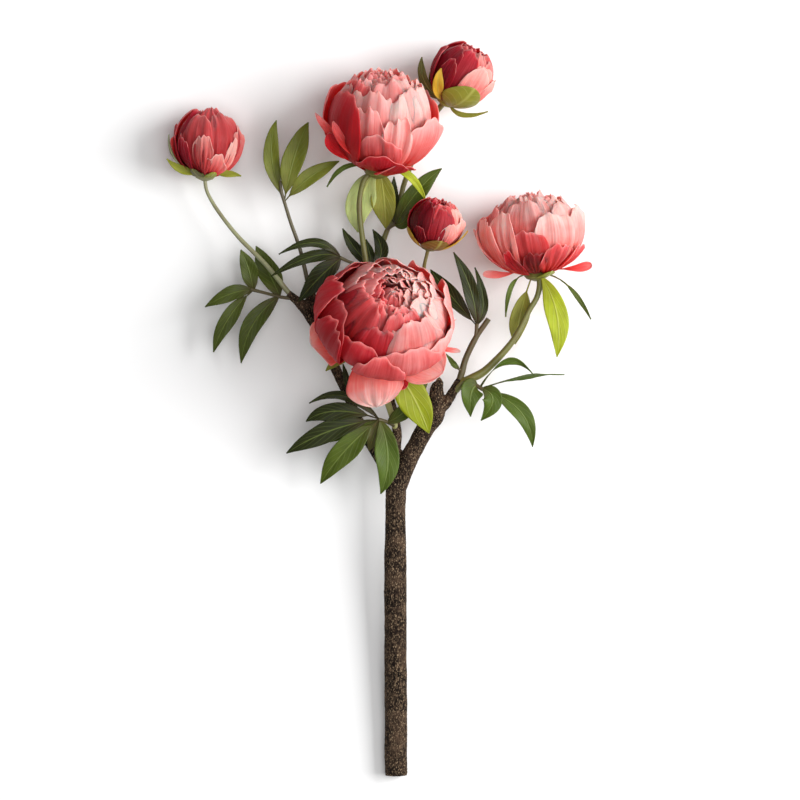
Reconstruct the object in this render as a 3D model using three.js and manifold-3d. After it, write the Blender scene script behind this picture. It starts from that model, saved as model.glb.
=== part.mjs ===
// Peony branch: a cut, flowering branch that lies on its back. Millimetres, +Z up.
// Drawing frame: x runs across the branch, y up it from the cut end, z up from the surface it lies on.
// The last lines move the whole branch so that the middle of its footprint is the origin.

import * as THREE from 'three';
import { mergeVertices } from 'three/addons/utils/BufferGeometryUtils.js';
import Module from 'manifold-3d';

const wasm = await Module();
wasm.setup();

// Driving dimensions
const GAP = 0.3; // clearance between two pieces that touch
const WOOD_SIDES = 8;
const SHOOT_SIDES = 6;
const STALK_SIDES = 5;
const CUP_SIDES = 6;
const CORE_SIDES = 5;
const PETAL_THICKNESS = 1.1;
const SEPAL_THICKNESS = 1.0;
const LEAF_THICKNESS = 0.9;
const NARROW = 13; // leaflets and bracts under this width need fewer rows
const LEAST_HALF_WIDTH = 0.7; // of a leaflet where it narrows to its stalk and its tip
const OUTER_ROOT_ANGLE = 162; // degrees from the bloom's axis where its outer petals start

// Cores and cups in stations of [height as a share of the bloom's, radius as a share of the bloom's]
const OPEN_CORE = [[-0.97, 0.36], [-0.4, 0.6], [0.4, 0.4]];
const BUD_CORE = [[-0.97, 0.3], [-0.4, 0.62], [0.75, 0.3]];
const OPEN_CUP = [[-1.2, 0.07], [-1.12, 0.25], [-0.985, 0.32]];
const BUD_CUP = [[-1.2, 0.07], [-1.13, 0.3], [-0.985, 0.4]];
const LOOSE_PETAL = { widest: 0.66, point: 0.45, blunt: 0.5, fold: 0, cup: 0.2, wave: 1.5, columns: 3 };
const OPEN_SEPAL_ROOT = 168;
const BUD_SEPAL_ROOT = 166;

// Colours seen on the branch
const BARK = 0x2f251f;
const TWIG = 0x5b5230;
const STALK = 0x6b7038;
const STALK_PALE = 0x9b9a5c;
const SEPAL = 0x7e8030;
const BRACT = 0xb4bf3c;
const LEAF = 0x3d5226;
const LEAF_MID = 0x4f6a30;
const PETAL = 0xd8606a;
const PETAL_PALE = 0xeb9c98;
const PETAL_DEEP = 0xb23340;

const radians = THREE.MathUtils.degToRad;

// The same numbers on every run, so that the branch never changes
function seededDraw(seed) {
  let state = seed;
  return (low, high) => {
    state = (Math.imul(state, 1664525) + 1013904223) >>> 0;
    return low + ((high - low) * state) / 4294967296;
  };
}

// Closed solids from points and triangles

function signedVolume(points, faces) {
  let sum = 0;
  for (const [a, b, c] of faces) {
    sum += points[a].dot(new THREE.Vector3().crossVectors(points[b], points[c]));
  }
  return sum / 6;
}

function solid(points, faces) {
  const outward = signedVolume(points, faces) > 0 ? faces : faces.map(([a, b, c]) => [a, c, b]);
  return new wasm.Manifold(new wasm.Mesh({
    numProp: 3,
    vertProperties: new Float32Array(points.flatMap((p) => [p.x, p.y, p.z])),
    triVerts: new Uint32Array(outward.flat()),
  }));
}

// A round stem through stations of [x, y, z, radius], closed flat at both ends
function stem(stations, sides, grow = 0) {
  const centres = stations.map(([x, y, z]) => new THREE.Vector3(x, y, z));
  const last = centres.length - 1;
  const points = [];
  const faces = [];
  let across = new THREE.Vector3(0, 0, 1);
  for (let i = 0; i <= last; i += 1) {
    const before = centres[Math.max(i - 1, 0)];
    const after = centres[Math.min(i + 1, last)];
    const along = after.clone().sub(before).normalize();
    across = across.clone().addScaledVector(along, -across.dot(along)).normalize();
    const other = new THREE.Vector3().crossVectors(along, across);
    const reach = i === 0 ? -grow : i === last ? grow : 0;
    const centre = centres[i].clone().addScaledVector(along, reach);
    for (let j = 0; j < sides; j += 1) {
      const angle = (2 * Math.PI * (j + 0.5)) / sides;
      points.push(centre.clone()
        .addScaledVector(across, (stations[i][3] + grow) * Math.cos(angle))
        .addScaledVector(other, (stations[i][3] + grow) * Math.sin(angle)));
    }
  }
  for (let i = 0; i < last; i += 1) {
    for (let j = 0; j < sides; j += 1) {
      const a = i * sides + j;
      const b = i * sides + ((j + 1) % sides);
      faces.push([a, b, b + sides], [a, b + sides, a + sides]);
    }
  }
  for (let j = 1; j < sides - 1; j += 1) {
    faces.push([0, j + 1, j], [last * sides, last * sides + j, last * sides + j + 1]);
  }
  return solid(points, faces);
}

// A thin blade over surface(s, t): s runs from root to tip through the given rows, t from edge to edge.
// Both faces are split into the same triangles.
function blade(surface, rows, columns, thickness) {
  const step = 0.002;
  const faceOut = (s, t) => {
    const up = surface(Math.min(s + step, 1), t).sub(surface(Math.max(s - step, 0), t));
    const side = surface(s, Math.min(t + step, 1)).sub(surface(s, Math.max(t - step, -1)));
    return up.cross(side).normalize();
  };
  const points = [];
  for (const half of [0.5, -0.5]) {
    for (const s of rows) {
      for (let j = 0; j <= columns; j += 1) {
        const t = (2 * j) / columns - 1;
        points.push(surface(s, t).addScaledVector(faceOut(s, t), half * thickness));
      }
    }
  }
  const last = rows.length - 1;
  const sheet = rows.length * (columns + 1);
  const at = (i, j) => i * (columns + 1) + j;
  const faces = [];
  for (let i = 0; i < last; i += 1) {
    for (let j = 0; j < columns; j += 1) {
      const [a, b, c, d] = [at(i, j), at(i + 1, j), at(i + 1, j + 1), at(i, j + 1)];
      faces.push([a, b, c], [a, c, d]);
      faces.push([a + sheet, c + sheet, b + sheet], [a + sheet, d + sheet, c + sheet]);
    }
  }
  const rim = [];
  for (let j = 0; j < columns; j += 1) rim.push(at(0, j));
  for (let i = 0; i < last; i += 1) rim.push(at(i, columns));
  for (let j = columns; j > 0; j -= 1) rim.push(at(last, j));
  for (let i = last; i > 0; i -= 1) rim.push(at(i, 0));
  rim.forEach((a, k) => {
    const b = rim[(k + 1) % rim.length];
    faces.push([a, b, b + sheet], [a, b + sheet, a + sheet]);
  });
  return solid(points, faces);
}

function evenRows(count, start = 0) {
  return Array.from({ length: count + 1 }, (_, i) => start + ((1 - start) * i) / count);
}

// A leaflet, bract or loose petal along a bowed midrib. Its face looks up unless it is rolled.
function leafBlade(leaf, thickness, grow = 0) {
  const { base, bend, tip, width } = leaf;
  const { neck = 0, widest = 0.45, point = 1, blunt = 0, fold = 0.22, wave = 1, cup = 0 } = leaf;
  const { roll = 0, rows = width < NARROW ? 3 : 4, columns = 2 } = leaf;
  const midrib = new THREE.QuadraticBezierCurve3(
    new THREE.Vector3(...base), new THREE.Vector3(...bend), new THREE.Vector3(...tip));
  const bias = Math.log(0.5) / Math.log(widest);
  const halfWidth = (s) => {
    const u = 2 * Math.max(0, (s - neck) / (1 - neck)) ** bias - 1;
    const share = Math.max(Math.max(0, 1 - u * u) ** point, s > 0.5 ? blunt : 0);
    return Math.max((width / 2) * share, LEAST_HALF_WIDTH) + grow;
  };
  const surface = (s, t) => {
    const along = midrib.getTangent(s);
    const upward = new THREE.Vector3(0, 0, 1).applyAxisAngle(along, radians(roll));
    const side = new THREE.Vector3().crossVectors(along, upward).normalize();
    const out = new THREE.Vector3().crossVectors(side, along);
    const half = halfWidth(s);
    const edge = Math.abs(t);
    const wavy = wave * edge * (half / (half - grow)) * Math.sin(11 * s + 2 * t);
    const lift = half * edge * (fold + cup * edge) + wavy;
    const reach = grow * (Math.round(s) * 2 - 1) * (s === 0 || s === 1 ? 1 : 0);
    return midrib.getPoint(s).addScaledVector(along, reach)
      .addScaledVector(side, half * t).addScaledVector(out, lift);
  };
  const stations = neck > 0 ? [0, ...evenRows(rows, neck)] : evenRows(rows);
  return blade(surface, stations, columns, thickness + 2 * grow);
}

// The axes of a bloom: its own axis, then across to the right, then the third
function bloomFrame(bloom) {
  const axis = new THREE.Vector3(...bloom.axis).normalize();
  const right = new THREE.Vector3(1, 0, 0).addScaledVector(axis, -axis.x).normalize();
  return { centre: new THREE.Vector3(...bloom.centre), axis, right, third: axis.clone().cross(right) };
}

// A petal or sepal that follows an egg-shaped shell round the bloom's centre, from root to tip
function shellBlade(bloom, petal, thickness, grow = 0) {
  const { centre, axis, right, third } = bloomFrame(bloom);
  const { turn, tip, spread, root = OUTER_ROOT_ANGLE, shell = 1, taller = 1 } = petal;
  const { flare = 0, ruffle = 0, skew = 0.045 } = petal;
  const { rows = 4, columns = 3, round = 16, phase = 0 } = petal;
  const widen = grow / (bloom.radius * shell);
  const surface = (s, t) => {
    const tipAngle = radians(tip + round * t * t) - widen;
    const polar = radians(root) + widen + (tipAngle - radians(root) - widen) * s;
    const full = 0.45 + 0.55 * Math.sin(Math.min(s / 0.65, 1) * Math.PI / 2);
    const aside = (1 + widen / (radians(spread) * full)) * t;
    const turned = radians(turn) + radians(spread) * full * aside;
    const wavy = ruffle * s * s * Math.sin(4.5 * aside + phase);
    const reach = shell * (1 + flare * s ** 3 + skew * aside) + wavy / bloom.radius;
    return centre.clone()
      .addScaledVector(right, reach * bloom.radius * Math.sin(polar) * Math.cos(turned))
      .addScaledVector(third, reach * bloom.radius * Math.sin(polar) * Math.sin(turned))
      .addScaledVector(axis, taller * reach * bloom.height * Math.cos(polar));
  };
  return blade(surface, evenRows(rows), columns, thickness + 2 * grow);
}

// A round body along the bloom's axis, through stations like those of the cores
function axisBody(bloom, stations, sides, grow = 0) {
  const { centre, axis } = bloomFrame(bloom);
  return stem(stations.map(([share, width]) => {
    const p = centre.clone().addScaledVector(axis, share * bloom.height);
    return [p.x, p.y, p.z, width * bloom.radius];
  }), sides, grow);
}

// Joins a list of solids
function fuse(solids) {
  return solids.reduce((whole, next) => whole.add(next));
}

// Woody stem, in stations of [x, y, z, radius]
const TRUNK = [
  [0, -1, 10.2, 11.0], [0, 2, 10.3, 11.65], [-0.3, 110, 18.5, 11.6], [-0.6, 217, 27.5, 11.4],
  [-0.7, 251, 30, 10.6], [0, 290, 33, 10.6], [1, 304, 34, 10.0],
];
const RIGHT_LIMB = [
  [0, 285, 33, 9.4], [11, 314, 35.5, 9.6], [21, 333, 37, 9.2], [30, 349, 38.5, 9.2], [40, 361, 40, 9],
  [41, 374, 40.6, 8.4], [40.5, 388, 41, 7.2], [43, 395, 41, 4.6], [42, 400, 41.5, 1.4],
];
const SIDE_LIMB = [
  [38, 360, 40, 6.4], [45, 369, 41.5, 6.4], [51, 375, 43, 5.6], [57, 385, 44.5, 5], [62, 393, 46, 4.7],
  [64.5, 397.5, 46.8, 4.2],
];
const LEFT_LIMB = [
  [4, 290, 33, 8], [-8, 305, 34.5, 6.3], [-21, 325, 36, 5.2], [-34, 349, 37.5, 5], [-48, 381, 39, 5],
  [-59, 405, 39.5, 5.2], [-69, 427, 40, 5.5], [-79, 449, 40, 6], [-88, 465, 40, 6.4], [-94, 472, 40, 6],
  [-101, 478, 40, 4.5], [-108, 484, 40, 3.8],
];
const LEFT_SPUR = [[-90, 467, 40, 5.6], [-85, 479, 41, 5.3], [-87, 489, 42, 4.1], [-89, 496, 42.3, 3]];
const MIDDLE_SHOOT = [
  [-1, 290, 33, 8], [-2, 310, 35, 6.8], [0, 327, 36, 5.4], [1, 345, 37, 5], [-3, 367, 37.5, 4.6],
  [-7, 384, 37.5, 4.2], [-11, 398, 37.5, 3.6],
];

function woodyStem(grow) {
  const thick = [TRUNK, RIGHT_LIMB].map((limb) => stem(limb, WOOD_SIDES, grow));
  const slim = [SIDE_LIMB, LEFT_LIMB, LEFT_SPUR, MIDDLE_SHOOT].map((limb) => stem(limb, SHOOT_SIDES, grow));
  return fuse([...thick, ...slim]);
}

// Green stalks, in stations of [x, y, z, radius], each from inside what carries it
const CUT_TWIG = [[62, 393, 46, 3.3], [66, 405, 48, 3.3], [70, 419, 50, 3.2], [79.7, 439, 53, 2.9],
  [92.5, 458, 56, 2.7]];
const LEFT_BUD_STALK = [
  [-105, 481.5, 40, 2.7], [-112, 490, 40, 2.6], [-118.4, 498.2, 40, 2.5], [-131.2, 513.5, 38.5, 2.3],
  [-144, 526.3, 37, 2.2], [-156.7, 539, 36, 2.1], [-169.5, 554.3, 35, 2], [-182.2, 572.2, 34, 1.9],
  [-190, 587.5, 34, 1.8], [-192, 602, 34, 1.8],
];
const TOP_BLOOM_STALK = [
  [-9, 392, 37.5, 2.9], [-16, 420, 37.5, 2.8], [-24, 460, 39, 2.8], [-28, 495, 42, 2.8],
  [-30.6, 518, 44.5, 2.8], [-35.4, 552.4, 48, 2.8], [-36.7, 572, 50.5, 2.8], [-34.4, 589, 53, 2.7],
  [-29.5, 600, 54.5, 2.7], [-19, 608, 55.5, 2.8],
];
const TOP_BUD_STALK = [
  [-5, 375, 37.5, 2.6], [1, 398, 34, 2.6], [1, 420, 31, 2.6], [-6, 450, 29, 2.6], [-14, 485, 27, 2.6],
  [-19, 518, 25, 2.6], [-12.4, 538, 24, 2.6], [-7, 551.4, 23.5, 2.6], [1, 566, 23, 2.6],
  [6.7, 589, 21.5, 2.6], [11.5, 604, 20, 2.6], [22, 632, 18.5, 2.7], [31, 650, 20.5, 2.8],
  [39, 664, 26.5, 2.9], [45, 671.5, 33, 3], [50, 676.5, 37.5, 3],
];
const CENTRE_BUD_STALK = [
  [-9, 391, 37.5, 2], [-3, 412, 41, 2], [4, 445, 43.5, 1.9], [14, 478, 48, 1.9], [22, 496, 54, 1.8],
  [27, 505, 58.5, 1.8], [29, 515, 62.5, 1.8], [32.6, 529, 66.8, 1.8],
];
const FRONT_BLOOM_STALK = [
  [0, 349, 38, 3.7], [-4, 361, 42, 3.5], [-10, 380, 48, 3.3], [-15, 400, 54.5, 3.2], [-18.5, 418, 61, 3.1],
  [-20.3, 431, 66, 3.2],
];
const RIGHT_BLOOM_STALK = [
  [59, 387, 45, 4.2], [66, 394, 47, 4.4], [76, 399, 48.5, 4.2], [88.6, 406, 49.5, 4],
  [107.8, 425, 50.5, 3.3], [120.5, 442, 51, 3], [133, 466, 51, 2.8], [141, 480, 50, 2.8],
  [144, 494, 49, 3.2], [141.5, 506, 48.5, 3.8],
];

// Blooms and buds. Turns run from the right round the axis, and tips are measured from the axis.
const FRONT_BLOOM = {
  centre: [-11, 457, 105], axis: [0.2, 0.56, 0.8], radius: 65, height: 44, seed: 11,
  core: OPEN_CORE, cup: OPEN_CUP, sepalRoot: OPEN_SEPAL_ROOT, open: 0.05, ruffle: 1.3, rows: 4,
  petals: [
    { turn: 286, tip: 50, spread: 37 },
    { turn: 234, tip: 44, spread: 38 },
    { turn: 184, tip: 50, spread: 37 },
    { turn: 134, tip: 56, spread: 37 },
    { turn: 80, tip: 57, spread: 37 },
    { turn: 28, tip: 48, spread: 37 },
    { turn: 338, tip: 52, spread: 36 },
  ],
  rings: [
    { count: 5, start: 30, shell: 0.78, tip: 34, spread: 41, taller: 1.2, root: 144 },
    { count: 3, start: 80, shell: 0.55, tip: 22, spread: 56, taller: 1.7, root: 122 },
    { count: 2, start: 20, shell: 0.33, tip: 16, spread: 76, taller: 2.7, root: 96 },
  ],
  loose: [
    { base: [-20, 427, 72], bend: [-24, 400, 114], tip: [-20, 369, 84], width: 56, cup: -0.16 },
    { base: [-32, 434, 74], bend: [-66, 440, 84], tip: [-84, 432, 104], width: 48 },
    { base: [-8, 428, 74], bend: [22, 416, 84], tip: [46, 399, 100], width: 46 },
    { base: [-16, 424, 71], bend: [-4, 408, 82], tip: [9, 388, 80], width: 18 },
  ],
  sepals: [
    { turn: 100, tip: 128, spread: 26 },
    { turn: 20, tip: 132, spread: 24 },
  ],
  bracts: [
    { base: [-18, 427, 66], bend: [14, 397, 70], tip: [32.7, 344, 60], width: 32, widest: 0.62 },
    { base: [-25, 429, 65], bend: [-53, 424, 66], tip: [-70, 406, 63], width: 10, widest: 0.6 },
  ],
};
const TOP_BLOOM = {
  centre: [-14, 656, 70], axis: [0.08, 0.95, 0.3], radius: 56, height: 50, seed: 23,
  core: OPEN_CORE, cup: OPEN_CUP, sepalRoot: OPEN_SEPAL_ROOT, open: 0.05, ruffle: 1.3, rows: 4,
  petals: [
    { turn: 212, tip: 42, spread: 38 },
    { turn: 322, tip: 62, spread: 36 },
    { turn: 265, tip: 78, spread: 36 },
    { turn: 292, tip: 122, spread: 40, shell: 1.07, skew: 0, columns: 2 },
    { turn: 156, tip: 52, spread: 38 },
    { turn: 96, tip: 50, spread: 40 },
    { turn: 32, tip: 52, spread: 40 },
  ],
  rings: [
    { count: 5, start: 0, shell: 0.78, tip: 30, spread: 40, taller: 1.32, root: 144 },
    { count: 3, start: 40, shell: 0.55, tip: 22, spread: 56, taller: 1.85, root: 122 },
    { count: 2, start: 20, shell: 0.33, tip: 16, spread: 76, taller: 2.9, root: 96 },
  ],
  loose: [
    { base: [-34, 618, 78], bend: [-62, 634, 100], tip: [-80, 662, 96], width: 18 },
  ],
  sepals: [
    { turn: 90, tip: 132, spread: 28 },
  ],
  bracts: [
    { base: [-20, 606, 50], bend: [-42, 580, 38], tip: [-38, 545, 40], width: 29, widest: 0.5 },
    { base: [-16, 607, 50], bend: [-11, 578, 39], tip: [-10.5, 549, 38], width: 25, widest: 0.5 },
    { base: [-24, 608, 55], bend: [-52, 622, 54], tip: [-69, 590, 50], width: 5, widest: 0.6 },
    { base: [-12, 608, 56], bend: [14, 612, 58], tip: [29.7, 576.8, 52], width: 8, widest: 0.6 },
  ],
};
const RIGHT_BLOOM = {
  centre: [136, 546, 50], axis: [-0.12, 0.98, 0.1], radius: 51, height: 42, seed: 37,
  core: OPEN_CORE, cup: OPEN_CUP, sepalRoot: OPEN_SEPAL_ROOT, open: 0.05, ruffle: 1.3, rows: 4,
  petals: [
    { turn: 186, tip: 76, spread: 36, flare: 0.08 },
    { turn: 232, tip: 58, spread: 34 },
    { turn: 292, tip: 52, spread: 38 },
    { turn: 345, tip: 62, spread: 34 },
    { turn: 40, tip: 56, spread: 36 },
    { turn: 92, tip: 58, spread: 36 },
    { turn: 140, tip: 56, spread: 36 },
    { turn: 300, tip: 112, spread: 34, shell: 1.07, skew: 0 },
    { turn: 246, tip: 116, spread: 20, shell: 1.07, skew: 0 },
  ],
  rings: [
    { count: 4, start: 20, shell: 0.76, tip: 30, spread: 50, taller: 1.3, root: 144 },
    { count: 3, start: 70, shell: 0.46, tip: 18, spread: 60, taller: 2, root: 116 },
  ],
  loose: [
    { base: [132, 509, 50], bend: [112, 500, 54], tip: [87, 503, 50], width: 7, columns: 2 },
    { base: [148, 509, 50], bend: [172, 506, 54], tip: [196, 512, 52], width: 8, columns: 2 },
  ],
  sepals: [
    { turn: 300, tip: 150, spread: 44 },
    { turn: 90, tip: 142, spread: 34 },
  ],
  bracts: [
    { base: [145, 501, 52], bend: [168, 466, 64], tip: [160.7, 420, 58], width: 22, widest: 0.5 },
    { base: [136, 501, 46], bend: [122, 462, 38], tip: [119.3, 432.8, 40], width: 19, neck: 0.2 },
    { base: [133, 503, 48], bend: [111, 502, 52], tip: [109.7, 460, 49], width: 5, neck: 0.3 },
    { base: [149, 503, 48], bend: [174, 500, 52], tip: [195, 457.7, 46], width: 5, neck: 0.45 },
  ],
};
const LEFT_BUD = {
  centre: [-189, 636, 33], axis: [0.08, 1, 0], radius: 34, height: 33.5, seed: 41, open: 0, ruffle: 0.5,
  rows: 3, core: BUD_CORE, cup: BUD_CUP, sepalRoot: BUD_SEPAL_ROOT,
  petals: [
    { turn: 232, tip: 26, spread: 41 },
    { turn: 310, tip: 34, spread: 40 },
    { turn: 20, tip: 24, spread: 41 },
    { turn: 90, tip: 30, spread: 41 },
    { turn: 160, tip: 22, spread: 41 },
  ],
  rings: [],
  loose: [],
  sepals: [
    { turn: 205, tip: 100, spread: 30, flare: 0.06 },
    { turn: 305, tip: 132, spread: 44 },
    { turn: 90, tip: 116, spread: 34 },
  ],
  bracts: [
    { base: [-198, 605, 38], bend: [-214, 603, 42], tip: [-229.5, 618.5, 42], width: 8, widest: 0.5 },
    { base: [-186, 605, 38], bend: [-170, 605, 42], tip: [-155, 601.3, 42], width: 7, widest: 0.5 },
  ],
};
const CENTRE_BUD = {
  centre: [39, 554, 72], axis: [0.25, 0.95, 0.2], radius: 27, height: 26.5, seed: 53, open: 0, ruffle: 0.5,
  rows: 3, core: BUD_CORE, cup: BUD_CUP, sepalRoot: BUD_SEPAL_ROOT,
  petals: [
    { turn: 225, tip: 24, spread: 41 },
    { turn: 300, tip: 34, spread: 44 },
    { turn: 12, tip: 24, spread: 41 },
    { turn: 85, tip: 30, spread: 41 },
    { turn: 155, tip: 26, spread: 41 },
  ],
  rings: [],
  loose: [],
  sepals: [
    { turn: 196, tip: 96, spread: 32 },
    { turn: 350, tip: 88, spread: 34, flare: 0.16 },
    { turn: 270, tip: 124, spread: 44 },
    { turn: 90, tip: 112, spread: 40 },
  ],
  bracts: [],
};
const TOP_BUD = {
  centre: [67, 704, 42], axis: [0.52, 0.84, 0.15], radius: 31, height: 33, seed: 67, open: 0, ruffle: 0.5,
  rows: 3, core: BUD_CORE, cup: BUD_CUP, sepalRoot: BUD_SEPAL_ROOT,
  petals: [
    { turn: 222, tip: 28, spread: 41 },
    { turn: 296, tip: 34, spread: 44 },
    { turn: 0, tip: 44, spread: 44, flare: 0.06 },
    { turn: 80, tip: 28, spread: 41 },
    { turn: 150, tip: 26, spread: 41 },
  ],
  rings: [],
  loose: [],
  sepals: [
    { turn: 312, tip: 108, spread: 44 },
    { turn: 60, tip: 110, spread: 36 },
    { turn: 140, tip: 108, spread: 30 },
  ],
  bracts: [
    { base: [48, 677, 39], bend: [22, 690, 48], tip: [26, 720, 50], width: 12, widest: 0.5, roll: -35 },
    { base: [48, 676, 42], bend: [34, 684, 72], tip: [44.6, 707.5, 72], width: 11, widest: 0.6 },
    { base: [53, 674, 38], bend: [62, 655, 42], tip: [92, 665.7, 46], width: 5, widest: 0.5 },
  ],
};

// All the petals that follow a shell: those placed one by one, then the inner rings by rule
function shellPetals(bloom) {
  const draw = seededDraw(bloom.seed);
  const petals = bloom.petals.map((petal) => (
    { flare: bloom.open, ruffle: bloom.ruffle, rows: bloom.rows, phase: draw(0, 6), ...petal }));
  for (const { count, start, tip, ...ring } of bloom.rings) {
    for (let i = 0; i < count; i += 1) {
      petals.push({
        ...ring, rows: 3, columns: 2, ruffle: 2.2, phase: draw(0, 6), flare: draw(-0.04, 0.05),
        turn: start + (360 * i) / count + draw(-8, 8), tip: tip + draw(-4, 5),
      });
    }
  }
  return petals;
}

function petalHead(bloom, grow) {
  const core = axisBody(bloom, bloom.core, CORE_SIDES, grow);
  const shells = shellPetals(bloom).map((petal) => shellBlade(bloom, petal, PETAL_THICKNESS, grow));
  const loose = bloom.loose.map((petal) => (
    leafBlade({ ...LOOSE_PETAL, ...petal }, PETAL_THICKNESS, grow)));
  return fuse([core, ...shells, ...loose]);
}

function sepalCup(bloom, grow) {
  const cup = axisBody(bloom, bloom.cup, CUP_SIDES, grow);
  const shared = { root: bloom.sepalRoot, shell: 1.12, skew: 0, rows: 3, columns: 2, round: 26 };
  const shells = bloom.sepals.map((sepal) => (
    shellBlade(bloom, { ...shared, ...sepal }, SEPAL_THICKNESS, grow)));
  const bracts = bloom.bracts.map((bract) => leafBlade({ wave: 0.8, ...bract }, SEPAL_THICKNESS, grow));
  return fuse([cup, ...shells, ...bracts]);
}

// Leaves: a leaf stalk in stations of [x, y, z, radius], and leaflets along it
const UPPER_LEFT_LEAF = {
  stalk: [[-88, 493, 42, 2.3], [-94, 520, 43, 2], [-98, 534, 44, 1.9], [-105.7, 555.6, 46, 1.8],
    [-110.8, 572.2, 47.5, 1.7], [-114.6, 585, 48.5, 1.7], [-116, 596, 49, 1.6]],
  leaflets: [
    { base: [-112, 575, 47.6], bend: [-133, 624, 50], tip: [-119.3, 656.4, 56], width: 16, neck: 0.1 },
    { base: [-112, 574, 47.6], bend: [-104, 624, 60], tip: [-87.5, 654.5, 54], width: 22, neck: 0.1 },
    { base: [-111, 576, 47.6], bend: [-88, 604, 56], tip: [-57, 616, 42], width: 16, neck: 0.1 },
  ],
};
const LEFT_LEAF = {
  stalk: [[-102, 478.5, 40.5, 1.9], [-115, 480, 40, 1.7], [-130.3, 484, 38, 1.6], [-145, 487.8, 36.5, 2]],
  leaflets: [
    { base: [-143, 487, 36.8], bend: [-146, 508, 45], tip: [-155.3, 527.4, 45], width: 17 },
    { base: [-116, 480.5, 39.6], bend: [-128, 506, 28], tip: [-140.5, 531.5, 28], width: 22 },
    { base: [-144, 487.5, 36.6], bend: [-166, 487, 44], tip: [-191.2, 470.3, 36], width: 15 },
    { base: [-143, 487, 36.8], bend: [-172, 463, 44], tip: [-183, 425, 32], width: 16, neck: 0.12 },
    { base: [-117, 480.6, 39.5], bend: [-151, 457, 46], tip: [-155.3, 414.1, 32], width: 19 },
  ],
};
const INNER_LEFT_LEAF = {
  stalk: [[-30, 511, 43.5, 1.7], [-44.5, 514.3, 50, 1.6], [-56.5, 519.5, 57, 1.9]],
  leaflets: [
    { base: [-55, 519, 57], bend: [-77, 547, 68], tip: [-117, 522.3, 62], width: 9 },
    { base: [-55, 519, 57], bend: [-77, 531, 62], tip: [-125.2, 500.4, 56], width: 12 },
    { base: [-55, 518.6, 57], bend: [-76, 502, 64], tip: [-97.6, 475.4, 56], width: 20 },
  ],
};
const LOWER_LEFT_LEAF = {
  stalk: [[-1, 351, 40, 1.9], [-9, 355, 47, 1.8], [-18, 357.5, 53, 2.2]],
  leaflets: [
    { base: [-17, 358, 53], bend: [-52, 396, 60], tip: [-86.7, 373.7, 56], width: 9 },
    { base: [-17, 358, 53], bend: [-66, 375, 62], tip: [-89.9, 355.5, 50], width: 18, neck: 0.12 },
    { base: [-17, 357.6, 53], bend: [-68, 352, 60], tip: [-109.6, 323.7, 46], width: 21, neck: 0.12 },
    { base: [-17, 357, 53], bend: [-45, 350, 49], tip: [-66, 338, 47], width: 8 },
    { base: [-17, 357, 53], bend: [-53, 331, 58], tip: [-75.6, 293.3, 42], width: 24, neck: 0.1 },
    { base: [-17, 357, 53], bend: [-22, 343, 50], tip: [-27, 326, 47], width: 11 },
    { base: [-16, 357, 53], bend: [-1, 318, 60], tip: [-15.3, 283.1, 52], width: 24, rows: 6 },
    { base: [-9, 355, 47], bend: [10, 360, 55], tip: [33, 398, 55], width: 15 },
  ],
};
const MIDDLE_LEAF = {
  stalk: [[-27.6, 492, 41, 1.6], [-26, 503, 38, 1.6], [-24, 511, 36.5, 1.9]],
  leaflets: [
    { base: [-24, 510, 36.6], bend: [-42, 526, 38], tip: [-53.6, 549, 36], width: 12 },
    { base: [-24, 510, 36.6], bend: [-26, 524, 35], tip: [-30, 538, 33], width: 9 },
    { base: [-24, 509.5, 36.6], bend: [-6, 524, 35], tip: [-23.4, 548, 33], width: 14, neck: 0.1 },
  ],
};
const UPPER_RIGHT_LEAF = {
  stalk: [[-8.5, 548, 24, 1.8], [-5, 551, 30, 1.7], [0, 553.5, 34, 1.9]],
  leaflets: [
    { base: [-1, 553, 33.6], bend: [19.5, 590, 44], tip: [45.9, 608.8, 44], width: 19 },
    { base: [-1, 553, 33.6], bend: [-3, 575, 31], tip: [-2, 601, 29], width: 12 },
    { base: [-1, 553, 33.6], bend: [8, 551, 38], tip: [16, 568, 36], width: 12 },
  ],
};
const RIGHT_UPPER_LEAF = {
  stalk: [[79.4, 437, 53, 2.1], [80.4, 446, 54.5, 1.9], [80.8, 453.5, 56, 2.1]],
  leaflets: [
    { base: [80.8, 452, 56], bend: [79, 488, 62], tip: [57.4, 524.5, 62], width: 15 },
    { base: [81, 452, 56], bend: [94, 472, 59], tip: [78.7, 509.4, 56], width: 10 },
    { base: [80.5, 451.5, 55.8], bend: [50, 486, 50], tip: [34.5, 507.5, 43], width: 16, neck: 0.08 },
  ],
};
const RIGHT_LOWER_LEAF = {
  stalk: [[74, 398, 48.5, 2.2], [80, 392, 51, 2], [87, 387.5, 52.5, 2.2]],
  leaflets: [
    { base: [81, 391.5, 51.6], bend: [72, 390, 58], tip: [74.6, 360.4, 50], width: 23, widest: 0.35 },
    { base: [85.5, 388.5, 52.4], bend: [108, 382, 58], tip: [85, 356.5, 50], width: 20 },
    { base: [86, 388, 52.4], bend: [136, 373, 60], tip: [136.5, 330.1, 50], width: 17, neck: 0.12 },
    { base: [86, 388, 52.4], bend: [126, 406, 52], tip: [168.4, 402.2, 56], width: 12, neck: 0.1, roll: 75 },
    { base: [84, 389.5, 52], bend: [112, 436, 70], tip: [137.8, 401.6, 56], width: 8, neck: 0.2, roll: 40 },
  ],
};
const SMALL_LEFT_LEAF = {
  stalk: [[-46.5, 378, 41, 1.4], [-46, 384, 45.6, 1.2]],
  leaflets: [{ base: [-46, 383, 45], bend: [-49, 398, 49], tip: [-53, 413, 48], width: 6.5 }],
};
const SMALL_RIGHT_LEAF = {
  stalk: [[66.5, 406, 49, 1.4], [62, 408.5, 51, 1.2]],
  leaflets: [{ base: [63, 408, 50.6], bend: [58, 412, 54], tip: [50, 423, 56], width: 5.5 }],
};

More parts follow.
